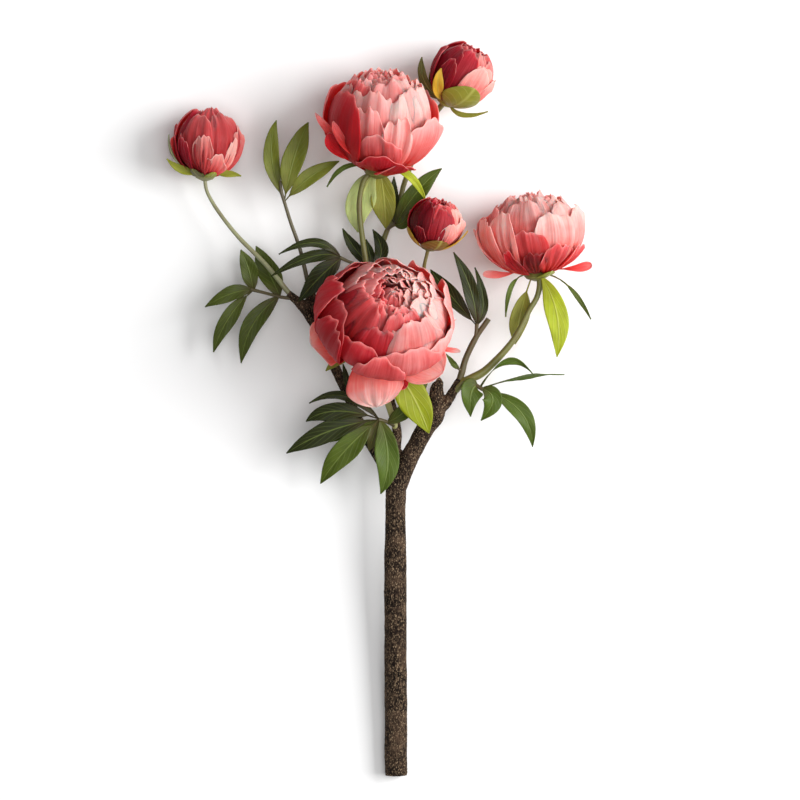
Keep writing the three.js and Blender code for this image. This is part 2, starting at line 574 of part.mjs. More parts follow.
function leafSpray(spray, grow) {
  const blades = spray.leaflets.map((leaflet) => leafBlade(leaflet, LEAF_THICKNESS, grow));
  return fuse([stem(spray.stalk, STALK_SIDES, grow), ...blades]);
}

// Placing: a later piece is cut clear of the earlier ones, and all are cut off level at the surface

function boxSolid(x, y, z, width, depth, height) {
  const box = new THREE.BoxGeometry(width, depth, height);
  box.deleteAttribute('normal');
  box.deleteAttribute('uv');
  const merged = mergeVertices(box.translate(x, y, z));
  return new wasm.Manifold(new wasm.Mesh({
    numProp: 3,
    vertProperties: new Float32Array(merged.attributes.position.array),
    triVerts: new Uint32Array(merged.index.array),
  }));
}

const SURFACE_BLOCK = boxSolid(0, 400, -50, 1000, 1000, 100);

// The points and triangles of the largest closed skin: loose scraps and sealed hollows are left out
function outerSkin(body) {
  const { vertProperties, triVerts, numProp } = body.getMesh();
  const points = [];
  for (let i = 0; i < vertProperties.length; i += numProp) {
    points.push(new THREE.Vector3(vertProperties[i], vertProperties[i + 1], vertProperties[i + 2]));
  }
  const parent = points.map((_, i) => i);
  const root = (i) => {
    while (parent[i] !== i) i = parent[i] = parent[parent[i]];
    return i;
  };
  const skins = new Map();
  for (let k = 0; k < triVerts.length; k += 3) {
    parent[root(triVerts[k])] = root(triVerts[k + 1]);
    parent[root(triVerts[k + 1])] = root(triVerts[k + 2]);
  }
  for (let k = 0; k < triVerts.length; k += 3) {
    const key = root(triVerts[k]);
    if (!skins.has(key)) skins.set(key, []);
    skins.get(key).push([triVerts[k], triVerts[k + 1], triVerts[k + 2]]);
  }
  const sizes = [...skins.values()].map((faces) => ({ faces, volume: signedVolume(points, faces) }));
  const largest = sizes.reduce((best, next) => (next.volume > best.volume ? next : best));
  return { points, faces: largest.faces };
}

function meshOf(name, { points, faces }, colour, roughness) {
  const geometry = new THREE.BufferGeometry();
  const corners = faces.flat().flatMap((i) => [points[i].x, points[i].y, points[i].z]);
  geometry.setAttribute('position', new THREE.Float32BufferAttribute(corners, 3));
  geometry.computeVertexNormals();
  const material = new THREE.MeshStandardMaterial({ color: colour, roughness, metalness: 0 });
  const mesh = new THREE.Mesh(geometry, material);
  mesh.name = name;
  return mesh;
}

const stalkPiece = (stations) => (grow) => stem(stations, STALK_SIDES, grow);
const cupPiece = (bloom) => (grow) => sepalCup(bloom, grow);
const headPiece = (bloom) => (grow) => petalHead(bloom, grow);
const leafPiece = (spray) => (grow) => leafSpray(spray, grow);

// Name, how it is made, colour and roughness, in the order in which they are seated
const PIECES = [
  ['woody_stem', woodyStem, BARK, 0.85],
  ['cut_twig', stalkPiece(CUT_TWIG), TWIG, 0.6],
  ['right_bloom_stalk', stalkPiece(RIGHT_BLOOM_STALK), STALK, 0.5],
  ['front_bloom_stalk', stalkPiece(FRONT_BLOOM_STALK), STALK_PALE, 0.5],
  ['top_bloom_stalk', stalkPiece(TOP_BLOOM_STALK), STALK, 0.5],
  ['top_bud_stalk', stalkPiece(TOP_BUD_STALK), STALK, 0.5],
  ['centre_bud_stalk', stalkPiece(CENTRE_BUD_STALK), STALK, 0.5],
  ['left_bud_stalk', stalkPiece(LEFT_BUD_STALK), STALK, 0.5],
  ['front_bloom_sepals', cupPiece(FRONT_BLOOM), BRACT, 0.5],
  ['top_bloom_sepals', cupPiece(TOP_BLOOM), SEPAL, 0.5],
  ['right_bloom_sepals', cupPiece(RIGHT_BLOOM), BRACT, 0.5],
  ['left_bud_sepals', cupPiece(LEFT_BUD), SEPAL, 0.5],
  ['centre_bud_sepals', cupPiece(CENTRE_BUD), SEPAL, 0.5],
  ['top_bud_sepals', cupPiece(TOP_BUD), SEPAL, 0.5],
  ['front_bloom', headPiece(FRONT_BLOOM), PETAL, 0.6],
  ['top_bloom', headPiece(TOP_BLOOM), PETAL, 0.6],
  ['right_bloom', headPiece(RIGHT_BLOOM), PETAL_PALE, 0.6],
  ['left_bud', headPiece(LEFT_BUD), PETAL_DEEP, 0.6],
  ['centre_bud', headPiece(CENTRE_BUD), PETAL_DEEP, 0.6],
  ['top_bud', headPiece(TOP_BUD), PETAL_DEEP, 0.6],
  ['upper_left_leaf', leafPiece(UPPER_LEFT_LEAF), LEAF_MID, 0.45],
  ['left_leaf', leafPiece(LEFT_LEAF), LEAF, 0.45],
  ['inner_left_leaf', leafPiece(INNER_LEFT_LEAF), LEAF, 0.45],
  ['lower_left_leaf', leafPiece(LOWER_LEFT_LEAF), LEAF, 0.45],
  ['middle_leaf', leafPiece(MIDDLE_LEAF), LEAF_MID, 0.45],
  ['upper_right_leaf', leafPiece(UPPER_RIGHT_LEAF), LEAF_MID, 0.45],
  ['right_upper_leaf', leafPiece(RIGHT_UPPER_LEAF), LEAF, 0.45],
  ['right_lower_leaf', leafPiece(RIGHT_LOWER_LEAF), LEAF, 0.45],
  ['small_left_leaf', leafPiece(SMALL_LEFT_LEAF), LEAF, 0.45],
  ['small_right_leaf', leafPiece(SMALL_RIGHT_LEAF), LEAF_MID, 0.45],
];

const branch = new THREE.Group();
branch.name = 'peony_branch';
const seated = [];
for (const [name, make, colour, roughness] of PIECES) {
  const clear = seated.reduce((body, earlier) => body.subtract(earlier), make(0));
  const skin = outerSkin(clear.subtract(SURFACE_BLOCK));
  branch.add(meshOf(name, skin, colour, roughness));
  seated.push(make(GAP), solid(skin.points, skin.faces));
}

const box = new THREE.Box3().setFromObject(branch);
branch.position.set(-(box.min.x + box.max.x) / 2, -(box.min.y + box.max.y) / 2, -box.min.z);
branch.updateMatrixWorld(true);

export default branch;
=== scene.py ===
# Dresses the peony branch over its solids: petals, sepals, leaves, stalks and bark.
# Shapes are in millimetres in the branch's drawing frame: x across the branch, y up it from the cut end, z up
# from the surface. placed() turns them into metres in the frame of the solids.

import math

import bpy
import numpy as np
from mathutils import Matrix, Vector, noise


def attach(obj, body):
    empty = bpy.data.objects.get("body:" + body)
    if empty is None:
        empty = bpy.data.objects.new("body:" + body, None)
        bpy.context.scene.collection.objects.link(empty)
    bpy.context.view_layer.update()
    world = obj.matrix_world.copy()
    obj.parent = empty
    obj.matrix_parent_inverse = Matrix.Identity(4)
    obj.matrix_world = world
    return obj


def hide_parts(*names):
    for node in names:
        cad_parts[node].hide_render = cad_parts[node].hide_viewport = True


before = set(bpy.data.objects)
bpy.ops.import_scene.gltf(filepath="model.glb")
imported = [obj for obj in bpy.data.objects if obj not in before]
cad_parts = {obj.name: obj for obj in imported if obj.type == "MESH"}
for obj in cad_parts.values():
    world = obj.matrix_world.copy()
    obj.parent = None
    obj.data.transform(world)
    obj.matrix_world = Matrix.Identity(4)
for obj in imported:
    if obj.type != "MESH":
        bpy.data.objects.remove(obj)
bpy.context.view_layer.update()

# Driving dimensions, millimetres
MILLIMETRE = 0.001  # in metres
SHIFT = np.array([16.785, -368.285, 0.0])  # from the drawing frame to the middle of the footprint
FLOOR_CLEARANCE = 0.45
PETAL_WALL = 0.5
SEPAL_WALL = 0.7
LEAF_WALL = 0.6
THINNEST_STEM = 0.2
STATION_STEP = 2.5  # along a stem's path
BARK_GRAIN = 0.95  # between the bark's corners

# Bark relief, metres: each layer's height, and its waves in a metre across and along the stem
BARK_RELIEF = [(0.00035, 260, 60), (0.0005, 70, 45), (0.0003, 700, 520)]
BARK_SINK = 0.00025

# Where petals and sepals start, in degrees from the bloom's axis
OUTER_ROOT_ANGLE = 162
OPEN_SEPAL_ROOT = 168
BUD_SEPAL_ROOT = 166

# Hearts and cups along the axis, as [share of the head's height, share of its radius]
OPEN_CORE = [[-0.97, 0.3], [-0.8, 0.4], [-0.2, 0.46], [0.2, 0.36], [0.5, 0.06]]
BUD_CORE = [[-0.97, 0.28], [-0.8, 0.5], [-0.2, 0.66], [0.4, 0.56], [0.72, 0.2]]
OPEN_CUP = [[-1.2, 0.07], [-1.12, 0.22], [-0.985, 0.28]]
BUD_CUP = [[-1.2, 0.07], [-1.13, 0.26], [-0.985, 0.36]]

# Rows, columns and crowding of the sheets that petals and leaves are shaped from. Over 1, the rows crowd
# towards the tip.
PETAL_ROWS, PETAL_COLUMNS, PETAL_CROWDING = 18, 16, 1.25
LOOSE_PETAL_GRID = (30, 24, 1.5)
SEPAL_GRID = (16, 16, 1.3)
BRACT_GRID = (36, 12, 1.3)
LEAFLET_GRID = (40, 14, 1.2)

# Camera and lights, metres
CAMERA_PLACE = (0.0208, 0.0087, 6.0)
LENS = 267.75
LAMP_AIM = (0, 0.1, 0.05)
SKY_LIGHT = 0.24

# Colours, as red, green and blue from 0 to 255
OLIVE_STALK = (104, 104, 48)
DARK_STALK = (78, 70, 40)
PALE_STALK = (158, 156, 96)
GREY_STALK = (140, 142, 104)
LEAF_DARK = (34, 40, 6)
LEAF_DEEP = (66, 76, 20)
LEAF_GREEN = (68, 82, 18)
LEAF_OLIVE = (104, 109, 32)
LEAF_FRESH = (74, 93, 26)
LEAF_PALE = (176, 188, 118)
BRACT_LIME = (160, 172, 34)
# A darker copy of the lime bract colour, as painted shade on the front bloom's bract
BRACT_LIME_IN_SHADE = (134, 144, 16)
BRACT_OLIVE = (128, 128, 44)
SEPAL_GOLD = (184, 146, 40)
SEPAL_GREEN = (140, 144, 46)
SEPAL_DARK = (86, 82, 40)
SEPAL_BROWN = (120, 88, 36)
SEPAL_MAROON = (84, 26, 26)
LEAF_VEIN = (124, 140, 72)
LEAF_ROOT = (66, 44, 34)
SEPAL_VEIN = (176, 178, 92)
SEPAL_ROOT = (112, 96, 40)
STALK_BROWN = (92, 66, 44)
# The pale rim of petals, partly their paler margin and partly a painted highlight
PALE_EDGE_AND_HIGHLIGHT = (250, 186, 180)
HEART_RED = (176, 36, 32)
BARK_BLACK = (14, 9, 7)
BARK_DARK = (34, 25, 20)
BARK_BROWN = (84, 66, 52)
BARK_TAN = (132, 108, 86)
BARK_SPECK = (172, 148, 118)
BARK_PIT = (16, 12, 11)
FLOOR_WHITE = (246, 246, 246)
PALEST = 1.4  # the highest pale share

# Petal colours, as the place along the petal and the colour there
BLOOM_DEEP = [(0.0, (184, 26, 24)), (0.35, (170, 22, 30)), (0.7, (184, 36, 46)), (1.0, (212, 70, 76))]
BLOOM_PALE = [(0.0, (226, 48, 38)), (0.3, (236, 78, 70)), (0.65, (243, 120, 114)), (1.0, (248, 176, 170))]
BUD_DEEP = [(0.0, (112, 10, 18)), (0.35, (134, 14, 30)), (0.7, (168, 24, 42)), (1.0, (196, 52, 66))]
BUD_PALE = [(0.0, (196, 42, 42)), (0.35, (226, 76, 74)), (0.7, (240, 120, 114)), (1.0, (246, 164, 154))]


def seeded_draw(seed):
    """The same numbers on every run, so that the branch never changes."""
    factor, offset, wrap = 1664525, 1013904223, 2 ** 32
    state = seed

    def draw(low, high):
        nonlocal state
        state = (state * factor + offset) % wrap
        return low + (high - low) * state / wrap

    return draw


def linear(colour):
    """A colour from 0 to 255 as the light it stands for, from 0 to 1."""
    return tuple(((c / 255 + 0.055) / 1.055) ** 2.4 if c > 10 else c / 255 / 12.92 for c in colour)


def unit(vectors):
    return vectors / np.linalg.norm(vectors, axis=-1, keepdims=True)


def placed(points):
    """Points of the drawing frame in metres, kept off the surface that the branch lies on."""
    moved = np.asarray(points, float) + SHIFT
    moved[:, 2] = np.maximum(moved[:, 2], FLOOR_CLEARANCE)
    return moved * MILLIMETRE


# Mesh tools


def only(piece):
    """Makes a piece the one that the next operators act on."""
    bpy.ops.object.select_all(action="DESELECT")
    piece.select_set(True)
    bpy.context.view_layer.objects.active = piece


def joined(parts):
    """One piece out of several, with nothing left selected."""
    only(parts[0])
    for part in parts[1:]:
        part.select_set(True)
    if len(parts) > 1:
        bpy.ops.object.join()
    piece = bpy.context.object
    bpy.ops.object.select_all(action="DESELECT")
    return piece


def tint(piece, tone):
    """Writes one tone on the whole piece, for its material to read."""
    layer = piece.data.color_attributes.new(name="tone", type="FLOAT_COLOR", domain="POINT")
    layer.data.foreach_set("color", np.tile([*tone, 1.0], len(piece.data.vertices)))


def sheet(surface, grid, tone):
    """A sheet over surface(along, across), with a grid of rows, columns and crowding."""
    rows, columns, crowding = grid
    bpy.ops.mesh.primitive_grid_add(x_subdivisions=columns, y_subdivisions=rows, size=2)
    piece = bpy.context.object
    corners = np.empty(3 * len(piece.data.vertices))
    piece.data.vertices.foreach_get("co", corners)
    corners = corners.reshape(-1, 3)
    along = 1 - (1 - (corners[:, 1] + 1) / 2).clip(0, 1) ** crowding
    piece.data.vertices.foreach_set("co", placed(surface(along, corners[:, 0])).ravel())
    tint(piece, tone)
    return piece


def walled(sheets, wall, material):
    """Joins sheets and gives them their wall."""
    piece = joined(sheets)
    only(piece)
    modifier = piece.modifiers.new("wall", "SOLIDIFY")
    modifier.thickness = wall * MILLIMETRE
    modifier.offset = 0
    bpy.ops.object.modifier_apply(modifier="wall")
    bpy.ops.object.shade_smooth()
    piece.data.materials.append(material)
    return piece


def smooth_path(stations, step):
    """Points every few millimetres on a smooth path through stations of [x, y, z, radius]."""
    points = np.array(stations, float)
    padded = np.vstack([2 * points[0] - points[1], points, 2 * points[-1] - points[-2]])
    path = []
    for before, start, end, after in zip(padded, padded[1:], padded[2:], padded[3:]):
        count = max(1, round(np.linalg.norm(end[:3] - start[:3]) / step))
        for i in range(count):
            u = i / count
            path.append(0.5 * (2 * start + (end - before) * u
                               + (2 * before - 5 * start + 4 * end - after) * u ** 2
                               + (3 * start - before - 3 * end + after) * u ** 3))
    path.append(points[-1])
    return np.array(path)


def tube(stations, rings, tone, material=None, step=STATION_STEP):
    """A round stem through stations of [x, y, z, radius], with 4 + 2 * rings sides."""
    path = smooth_path(stations, step)
    curve = bpy.data.curves.new("stem", "CURVE")
    curve.dimensions = "3D"
    curve.bevel_depth = MILLIMETRE
    curve.bevel_resolution = rings
    curve.use_fill_caps = True
    spline = curve.splines.new("POLY")
    spline.points.add(len(path) - 1)
    for point, centre, radius in zip(spline.points, placed(path[:, :3]), path[:, 3]):
        point.co = (*centre, 1)
        point.radius = max(radius, THINNEST_STEM)
    piece = bpy.data.objects.new("stem", curve)
    bpy.context.collection.objects.link(piece)
    only(piece)
    bpy.ops.object.convert(target="MESH")
    piece = bpy.context.object
    bpy.ops.object.mode_set(mode="EDIT")
    bpy.ops.mesh.select_all(action="SELECT")
    bpy.ops.mesh.remove_doubles(threshold=0.01 * MILLIMETRE)
    bpy.ops.mesh.normals_make_consistent(inside=False)
    bpy.ops.object.mode_set(mode="OBJECT")
    bpy.ops.object.shade_smooth_by_angle(angle=math.radians(50))
    tint(piece, tone)
    if material:
        piece.data.materials.append(material)
    return piece


def finish_piece(piece, name, node, slot):
    """Hands a piece over as the form of one solid."""
    piece.name = name
    piece.data.name = name
    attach(piece, "root")
    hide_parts(node)


# Surfaces of petals, sepals, leaflets and bracts


def cupped(turn, tip, spread, **shape):
    """A petal or sepal on a bloom's shell: its turn, its tip and half its width, in degrees."""
    return dict(turn=turn, tip=tip, spread=spread, **shape)


def bowed(base, bend, tip, width, **shape):
    """A leaflet, bract or loose petal from its base, past a bend, to its tip, in millimetres."""
    return dict(base=base, bend=bend, tip=tip, width=width, **shape)


def bloom_axes(bloom):
    """A bloom's centre, its axis and the two directions across it."""
    axis = unit(np.array(bloom["axis"], float))
    right = unit(np.array([1.0, 0, 0]) - axis[0] * axis)
    return np.array(bloom["centre"], float), axis, right, np.cross(axis, right)


def crinkles(across, along, seed):
    """Soft random dents, from -1 to 1, that never repeat from petal to petal."""
    return np.array([noise.noise(Vector((a, b, seed))) for a, b in zip(across, along)])


def shell_surface(bloom, petal):
    """A petal or sepal that follows an egg-shaped shell round the bloom's centre, from root to tip."""
    centre, axis, right, third = bloom_axes(bloom)
    radius, height = bloom["radius"], bloom["height"]
    shell = petal.get("shell", 1)
    taller, deeper = petal.get("taller", shell), petal.get("deeper", max(shell, 0.92))
    phase, ruffle, skew = petal.get("phase", 0), petal.get("ruffle", 0), petal.get("skew", 0.045)
    round_off, notch, furrow = petal.get("round", 16), petal.get("notch", 0), petal.get("furrow", 0)
    folds, dents, curl = petal.get("folds", 4.5), petal.get("dents", 0), petal.get("curl", 0)
    root = math.radians(petal.get("root", OUTER_ROOT_ANGLE))

    def surface(along, across):
        # The tip's edge is round and notched.
        ragged = 0.6 * np.sin(5 * across + 1.7 * phase) + 0.4 * np.sin(12 * across + 3.1 * phase)
        ragged += petal.get("fringe", 0) * np.sin(27 * across + 5.3 * phase)
        tip = np.radians(petal["tip"] + round_off * across ** 2 + notch * ragged)
        polar = root + (tip - root) * along
        # Share of the spread that a row fills, from a narrow root to the full width near the tip.
        full = 0.42 + 0.58 * np.sin(np.minimum(along / 0.7, 1) * math.pi / 2) - 0.16 * along ** 6
        # Waves, furrows and dents lift the petal off its shell.
        beat = folds * across + phase + 0.9 * along
        lift = ruffle * along ** 2.3 * (np.sin(beat) + 0.3 * along * np.sin(2.1 * beat + 2.3 * phase))
        lift += furrow * np.sin(15 * across + 2 * phase + 1.5 * along) * np.sin(math.pi * along ** 0.8)
        lift += dents * along * crinkles(2.2 * across, 2.6 * along, 7.3 * phase + petal["turn"])
        slide = 0.4 * ruffle * along ** 2 * np.cos(beat)
        # The tip flares and curls outwards and the edges tuck in.
        reach = shell * (1 + petal.get("flare", 0) * along ** 3 + skew * across + curl * along ** 8
                         - petal.get("tuck", 0) * across ** 4)
        wide = reach * radius
        tall = (np.where(polar < math.pi / 2, taller, deeper) + reach - shell) * height
        outward = np.arctan2(np.cos(polar) / tall, np.sin(polar) / wide)
        sideways = wide * np.sin(polar) + lift * np.cos(outward)
        upward = tall * np.cos(polar) + lift * np.sin(outward)
        turned = math.radians(petal["turn"]) + math.radians(petal["spread"]) * full * across
        turned += slide / np.maximum(sideways, 0.2 * radius)
        return (centre + np.outer(sideways * np.cos(turned), right)
                + np.outer(sideways * np.sin(turned), third) + np.outer(upward, axis))

    return surface


def blade_surface(blade):
    """A leaflet, bract or loose petal along a bowed midrib. Its face looks up unless it is rolled."""
    base, bend, tip = (np.array(blade[key], float) for key in ("base", "bend", "tip"))
    neck, width, point = blade.get("neck", 0), blade["width"], blade.get("point", 1)
    fold, cup, wave = blade.get("fold", 0.22), blade.get("cup", 0), blade.get("wave", 1)
    frill, relief = blade.get("frill", 0), blade.get("relief", 0)
    roll = math.radians(blade.get("roll", 0))
    bias = math.log(0.5) / math.log(blade.get("widest", 0.45))

    def surface(along, across):
        s = along[:, None]
        # The midrib bows from the base to the tip, and the blade turns about it by its roll.
        midrib = (1 - s) ** 2 * base + 2 * s * (1 - s) * bend + s ** 2 * tip
        heading = unit((1 - s) * (bend - base) + s * (tip - bend))
        up = np.array([0, 0, 1.0])
        rolled = (up * math.cos(roll) + np.cross(heading, up) * math.sin(roll)
                  + heading * (heading @ up)[:, None] * (1 - math.cos(roll)))
        side = unit(np.cross(heading, rolled))
        out = np.cross(side, heading)
        # Half the width along the blade, with a narrow neck at its base.
        u = 2 * np.maximum(0, (along - neck) / (1 - neck)) ** bias - 1
        waver = 1 + 0.07 * np.sin(8 * along + tip[0] + 1.5 * across)
        half = np.maximum(width / 2 * waver * np.maximum(0, 1 - u * u) ** point, 0.45)
        edge = np.abs(across)
        # The blade folds up along its midrib, then waves, frills and swells between its veins.
        lift = half * edge * (fold + cup * edge) + wave * edge * np.sin(11 * along + 2 * across)
        lift += frill * along ** 2 * (0.3 * np.sin(13 * across + 3 * along)
                                      + crinkles(3.5 * across, 1.5 * along, tip[0]))
        lift += relief * np.sin(2 * math.pi * (8 * along - 2.6 * edge)) * np.minimum(1, half / 6)
        return midrib + side * (half * across)[:, None] + out * lift[:, None]

    return surface


# Woody stem, in stations of [x, y, z, radius]
TRUNK = [
    [0, -1, 10.2, 11.1], [0, 2, 10.3, 11.5], [-0.3, 110, 18.5, 11.5], [-0.6, 217, 27.5, 11.3],
    [-0.7, 251, 30, 10.5], [0, 290, 33, 10.5], [1, 304, 34, 9.8],
]
RIGHT_LIMB = [
    [0, 285, 33, 9.3], [11, 314, 35.5, 9.5], [21, 333, 37, 9.1], [30, 349, 38.5, 9.1], [40, 361, 40, 8.9],
    [41, 374, 40.6, 8.3], [40.5, 388, 41, 7.1], [43, 395, 41, 4.5], [42, 400, 41.5, 1.4],
]
SIDE_LIMB = [
    [38, 360, 40, 6.3], [45, 369, 41.5, 6.3], [51, 375, 43, 5.5], [57, 385, 44.5, 4.9],
    [62, 393, 46, 4.6], [64.5, 397.5, 46.8, 4.1],
]
LEFT_LIMB = [
    [4, 290, 33, 8], [-8, 305, 34.5, 6.2], [-21, 325, 36, 5.1], [-34, 349, 37.5, 4.9], [-48, 381, 39, 4.9],
    [-59, 405, 39.5, 5.1], [-69, 427, 40, 5.4], [-79, 449, 40, 5.9], [-88, 465, 40, 6.3],
    [-94, 472, 40, 5.9], [-101, 478, 40, 4.4], [-108, 484, 40, 3.7],
]
LEFT_SPUR = [[-90, 467, 40, 5.5], [-85, 479, 41, 5.2], [-87, 489, 42, 4], [-89, 496, 42.3, 2.9]]
MIDDLE_SHOOT = [
    [-1, 290, 33, 8], [-2, 310, 35, 6.7], [0, 327, 36, 5.3], [1, 345, 37, 4.9], [-3, 367, 37.5, 4.5],
    [-7, 384, 37.5, 4.1], [-11, 398, 37.5, 3.5],
]

# Green stalks: name of the solid, colour, and stations of [x, y, z, radius]
STALKS = [
    ("cut_twig", DARK_STALK, [
        [62, 393, 46, 3.3], [66, 405, 48, 3.3], [70, 419, 50, 3.2], [79.7, 439, 53, 2.9],
        [92.5, 458, 56, 2.7]]),
    ("left_bud_stalk", GREY_STALK, [
        [-105, 481.5, 40, 2.7], [-112, 490, 40, 2.6], [-118.4, 498.2, 40, 2.5], [-131.2, 513.5, 38.5, 2.3],
        [-144, 526.3, 37, 2.2], [-156.7, 539, 36, 2.1], [-169.5, 554.3, 35, 2], [-182.2, 572.2, 34, 1.9],
        [-190, 587.5, 34, 1.8], [-192, 602, 34, 1.8]]),
    ("top_bloom_stalk", OLIVE_STALK, [
        [-9, 392, 37.5, 2.9], [-16, 420, 37.5, 2.8], [-24, 460, 39, 2.8], [-28, 495, 42, 2.8],
        [-30.6, 518, 44.5, 2.8], [-35.4, 552.4, 48, 2.8], [-36.7, 572, 50.5, 2.8], [-34.4, 589, 53, 2.7],
        [-29.5, 600, 54.5, 2.7], [-19, 608, 55.5, 2.8]]),
    ("top_bud_stalk", OLIVE_STALK, [
        [-5, 375, 37.5, 2.6], [1, 398, 34, 2.6], [1, 420, 31, 2.6], [-6, 450, 29, 2.6], [-14, 485, 27, 2.6],
        [-19, 518, 25, 2.6], [-12.4, 538, 24, 2.6], [-7, 551.4, 23.5, 2.6], [1, 566, 23, 2.6],
        [6.7, 589, 21.5, 2.6], [11.5, 604, 20, 2.6], [22, 632, 18.5, 2.7], [31, 650, 20.5, 2.8],
        [39, 664, 26.5, 2.9], [45, 671.5, 33, 3], [50, 676.5, 37.5, 3]]),
    ("centre_bud_stalk", OLIVE_STALK, [
        [-9, 391, 37.5, 2], [-3, 412, 41, 2], [4, 445, 43.5, 1.9], [14, 478, 48, 1.9], [22, 496, 54, 1.8],
        [27, 505, 58.5, 1.8], [29, 515, 62.5, 1.8], [32.6, 529, 66.8, 1.8]]),
    ("front_bloom_stalk", PALE_STALK, [
        [0, 349, 38, 3.7], [-4, 361, 42, 3.5], [-10, 380, 48, 3.3], [-15, 400, 54.5, 3.2],
        [-18.5, 418, 61, 3.1], [-20.3, 431, 66, 3.2]]),
    ("right_bloom_stalk", OLIVE_STALK, [
        [59, 387, 45, 4.2], [66, 394, 47, 4.4], [76, 399, 48.5, 4.2], [88.6, 406, 49.5, 4],
        [107.8, 425, 50.5, 3.3], [120.5, 442, 51, 3], [133, 466, 51, 2.8], [141, 480, 50, 2.8],
        [144, 494, 49, 3.2], [141.5, 506, 48.5, 3.8]]),
]

# Rings of petals inside an open bloom, from the outer one to the heart
OPEN_RINGS = [
    dict(count=6, start=12, shell=0.86, tip=50, spread=38, taller=1.12, root=150, folds=5, share=0.7),
    dict(count=6, start=40, shell=0.78, tip=45, spread=38, taller=1.14, root=147, folds=6, share=0.9),
    dict(count=5, start=8, shell=0.68, tip=41, spread=44, taller=1.16, root=143, folds=6, share=0.9),
    dict(count=5, start=30, shell=0.56, tip=38, spread=46, taller=1.16, root=134, folds=6, share=0.8),
    dict(count=4, start=0, shell=0.43, tip=35, spread=54, taller=1.14, root=122, folds=6, share=0.65),
    dict(count=3, start=20, shell=0.29, tip=20, spread=66, taller=1.1, root=106, folds=6, share=0.5),
    dict(count=3, start=50, shell=0.18, tip=-6, spread=70, taller=1.05, root=94, folds=5, share=0.4),
]
BUD_RINGS = [
    dict(count=5, start=0, shell=0.93, tip=22, spread=38, taller=0.93, root=150, folds=5, share=0.9),
    dict(count=4, start=36, shell=0.82, tip=24, spread=46, taller=0.96, root=140, folds=6, share=1.1),
    dict(count=2, start=10, shell=0.56, tip=26, spread=100, taller=1, root=110, folds=9, share=1,
         deeper=0.85),
]

# Blooms and buds. A petal's turn runs round the axis from the right and its tip is measured from the axis, in
# degrees. Its pale share runs from 0, crimson, to 1, pale pink, and under 0 the petal is darkened by painted
# shade. The pale shares mix each petal's own colour with painted light and shade: petals on the lit side are
# paler and those on the far side deeper crimson. In the inner rings, closed scales the angle of the tips,
# crown the height and frills the waves, and the contrast makes the petals paler towards the turn of the lit
# side, as painted light, and deeper away from it, as painted shade.
OPEN_BLOOM = dict(
    slot="petal", open=0.05, ruffle=1.6, inner=OPEN_RINGS, overlays=[], core=OPEN_CORE, cup=OPEN_CUP,
    cup_colour=OLIVE_STALK, sepal_root=OPEN_SEPAL_ROOT,
)
BUD = dict(
    slot="bud_petal", open=0, ruffle=0.9, inner=BUD_RINGS, loose=[], core=BUD_CORE, cup=BUD_CUP,
    sepal_root=BUD_SEPAL_ROOT, closed=1, crown=1, frills=1.5, painted_light_contrast=0.4, painted_lit_side=0,
)
FRONT_BLOOM = OPEN_BLOOM | dict(
    name="front_bloom", seed=11, centre=[-11, 457, 105], axis=[0.2, 0.56, 0.8], radius=65, height=44,
    closed=0.74, crown=1, frills=2.5, pale=0.6, painted_light_contrast=0.9, painted_lit_side=30,
    petals=[
        cupped(290, 55, 36, deeper=0.84, pale=0.4),
        cupped(240, 58, 34, shell=0.98, deeper=0.83, skew=0, pale=-0.1),
        cupped(196, 46, 35, shell=1.01, pale=-0.5),
        cupped(146, 52, 36, pale=-0.3),
        cupped(112, 56, 26, shell=0.95, pale=0.4, notch=5),
        cupped(76, 50, 26, shell=0.97, pale=1, notch=5),
        cupped(46, 50, 26, shell=1.02, pale=0.7, notch=5),
        cupped(14, 50, 30, shell=1.06, pale=0.7),
        cupped(334, 62, 34, shell=1.01, pale=0.7),
        cupped(316, 35, 25, shell=0.93, pale=0.75, ruffle=2.4, round=22, notch=5),
        cupped(354, 30, 26, shell=0.95, pale=0.9, ruffle=1.8, round=12, notch=5),
        cupped(76, 18, 54, shell=0.5, taller=1.15, root=130, pale=0.7, folds=7, round=8),
        cupped(30, 26, 26, shell=0.93, pale=0.8, ruffle=1.8, round=12, notch=5),
        cupped(70, 28, 26, shell=0.9, pale=0.7, ruffle=1.8, round=12, notch=5),
        cupped(265, 64, 24, shell=1.05, deeper=0.84, skew=0, pale=0.2, notch=4),
        cupped(210, 58, 20, shell=1.07, deeper=0.95, skew=0, pale=-0.3, notch=5),
        cupped(172, 44, 22, shell=1.08, skew=0, pale=-0.1, notch=5),
    ],
    loose=[
        bowed([-20, 427, 72], [-24, 400, 114], [-20, 370, 84], 57, cup=-0.16, pale=1, frill=2),
        bowed([-32, 434, 74], [-66, 440, 84], [-84, 432, 104], 48, pale=1.1),
        bowed([-8, 428, 74], [22, 420, 92], [46, 403, 104], 46, pale=1.4),
        bowed([-16, 424, 71], [-4, 408, 82], [9, 388, 80], 18, pale=0),
        bowed([36, 428, 100], [50, 428, 103], [64, 425, 103], 5, pale=1.4),
    ],
    sepals=[
        cupped(100, 128, 26, colour=SEPAL_GREEN),
        cupped(20, 132, 24, colour=SEPAL_GREEN),
    ],
    bracts=[
        bowed([-18, 427, 66], [14, 397, 70], [32.7, 344, 60], 32, widest=0.62,
              colour=BRACT_LIME_IN_SHADE, fold=0.12),
        bowed([-25, 429, 65], [-53, 424, 66], [-70, 406, 63], 10, widest=0.6, colour=BRACT_OLIVE),
    ],
)
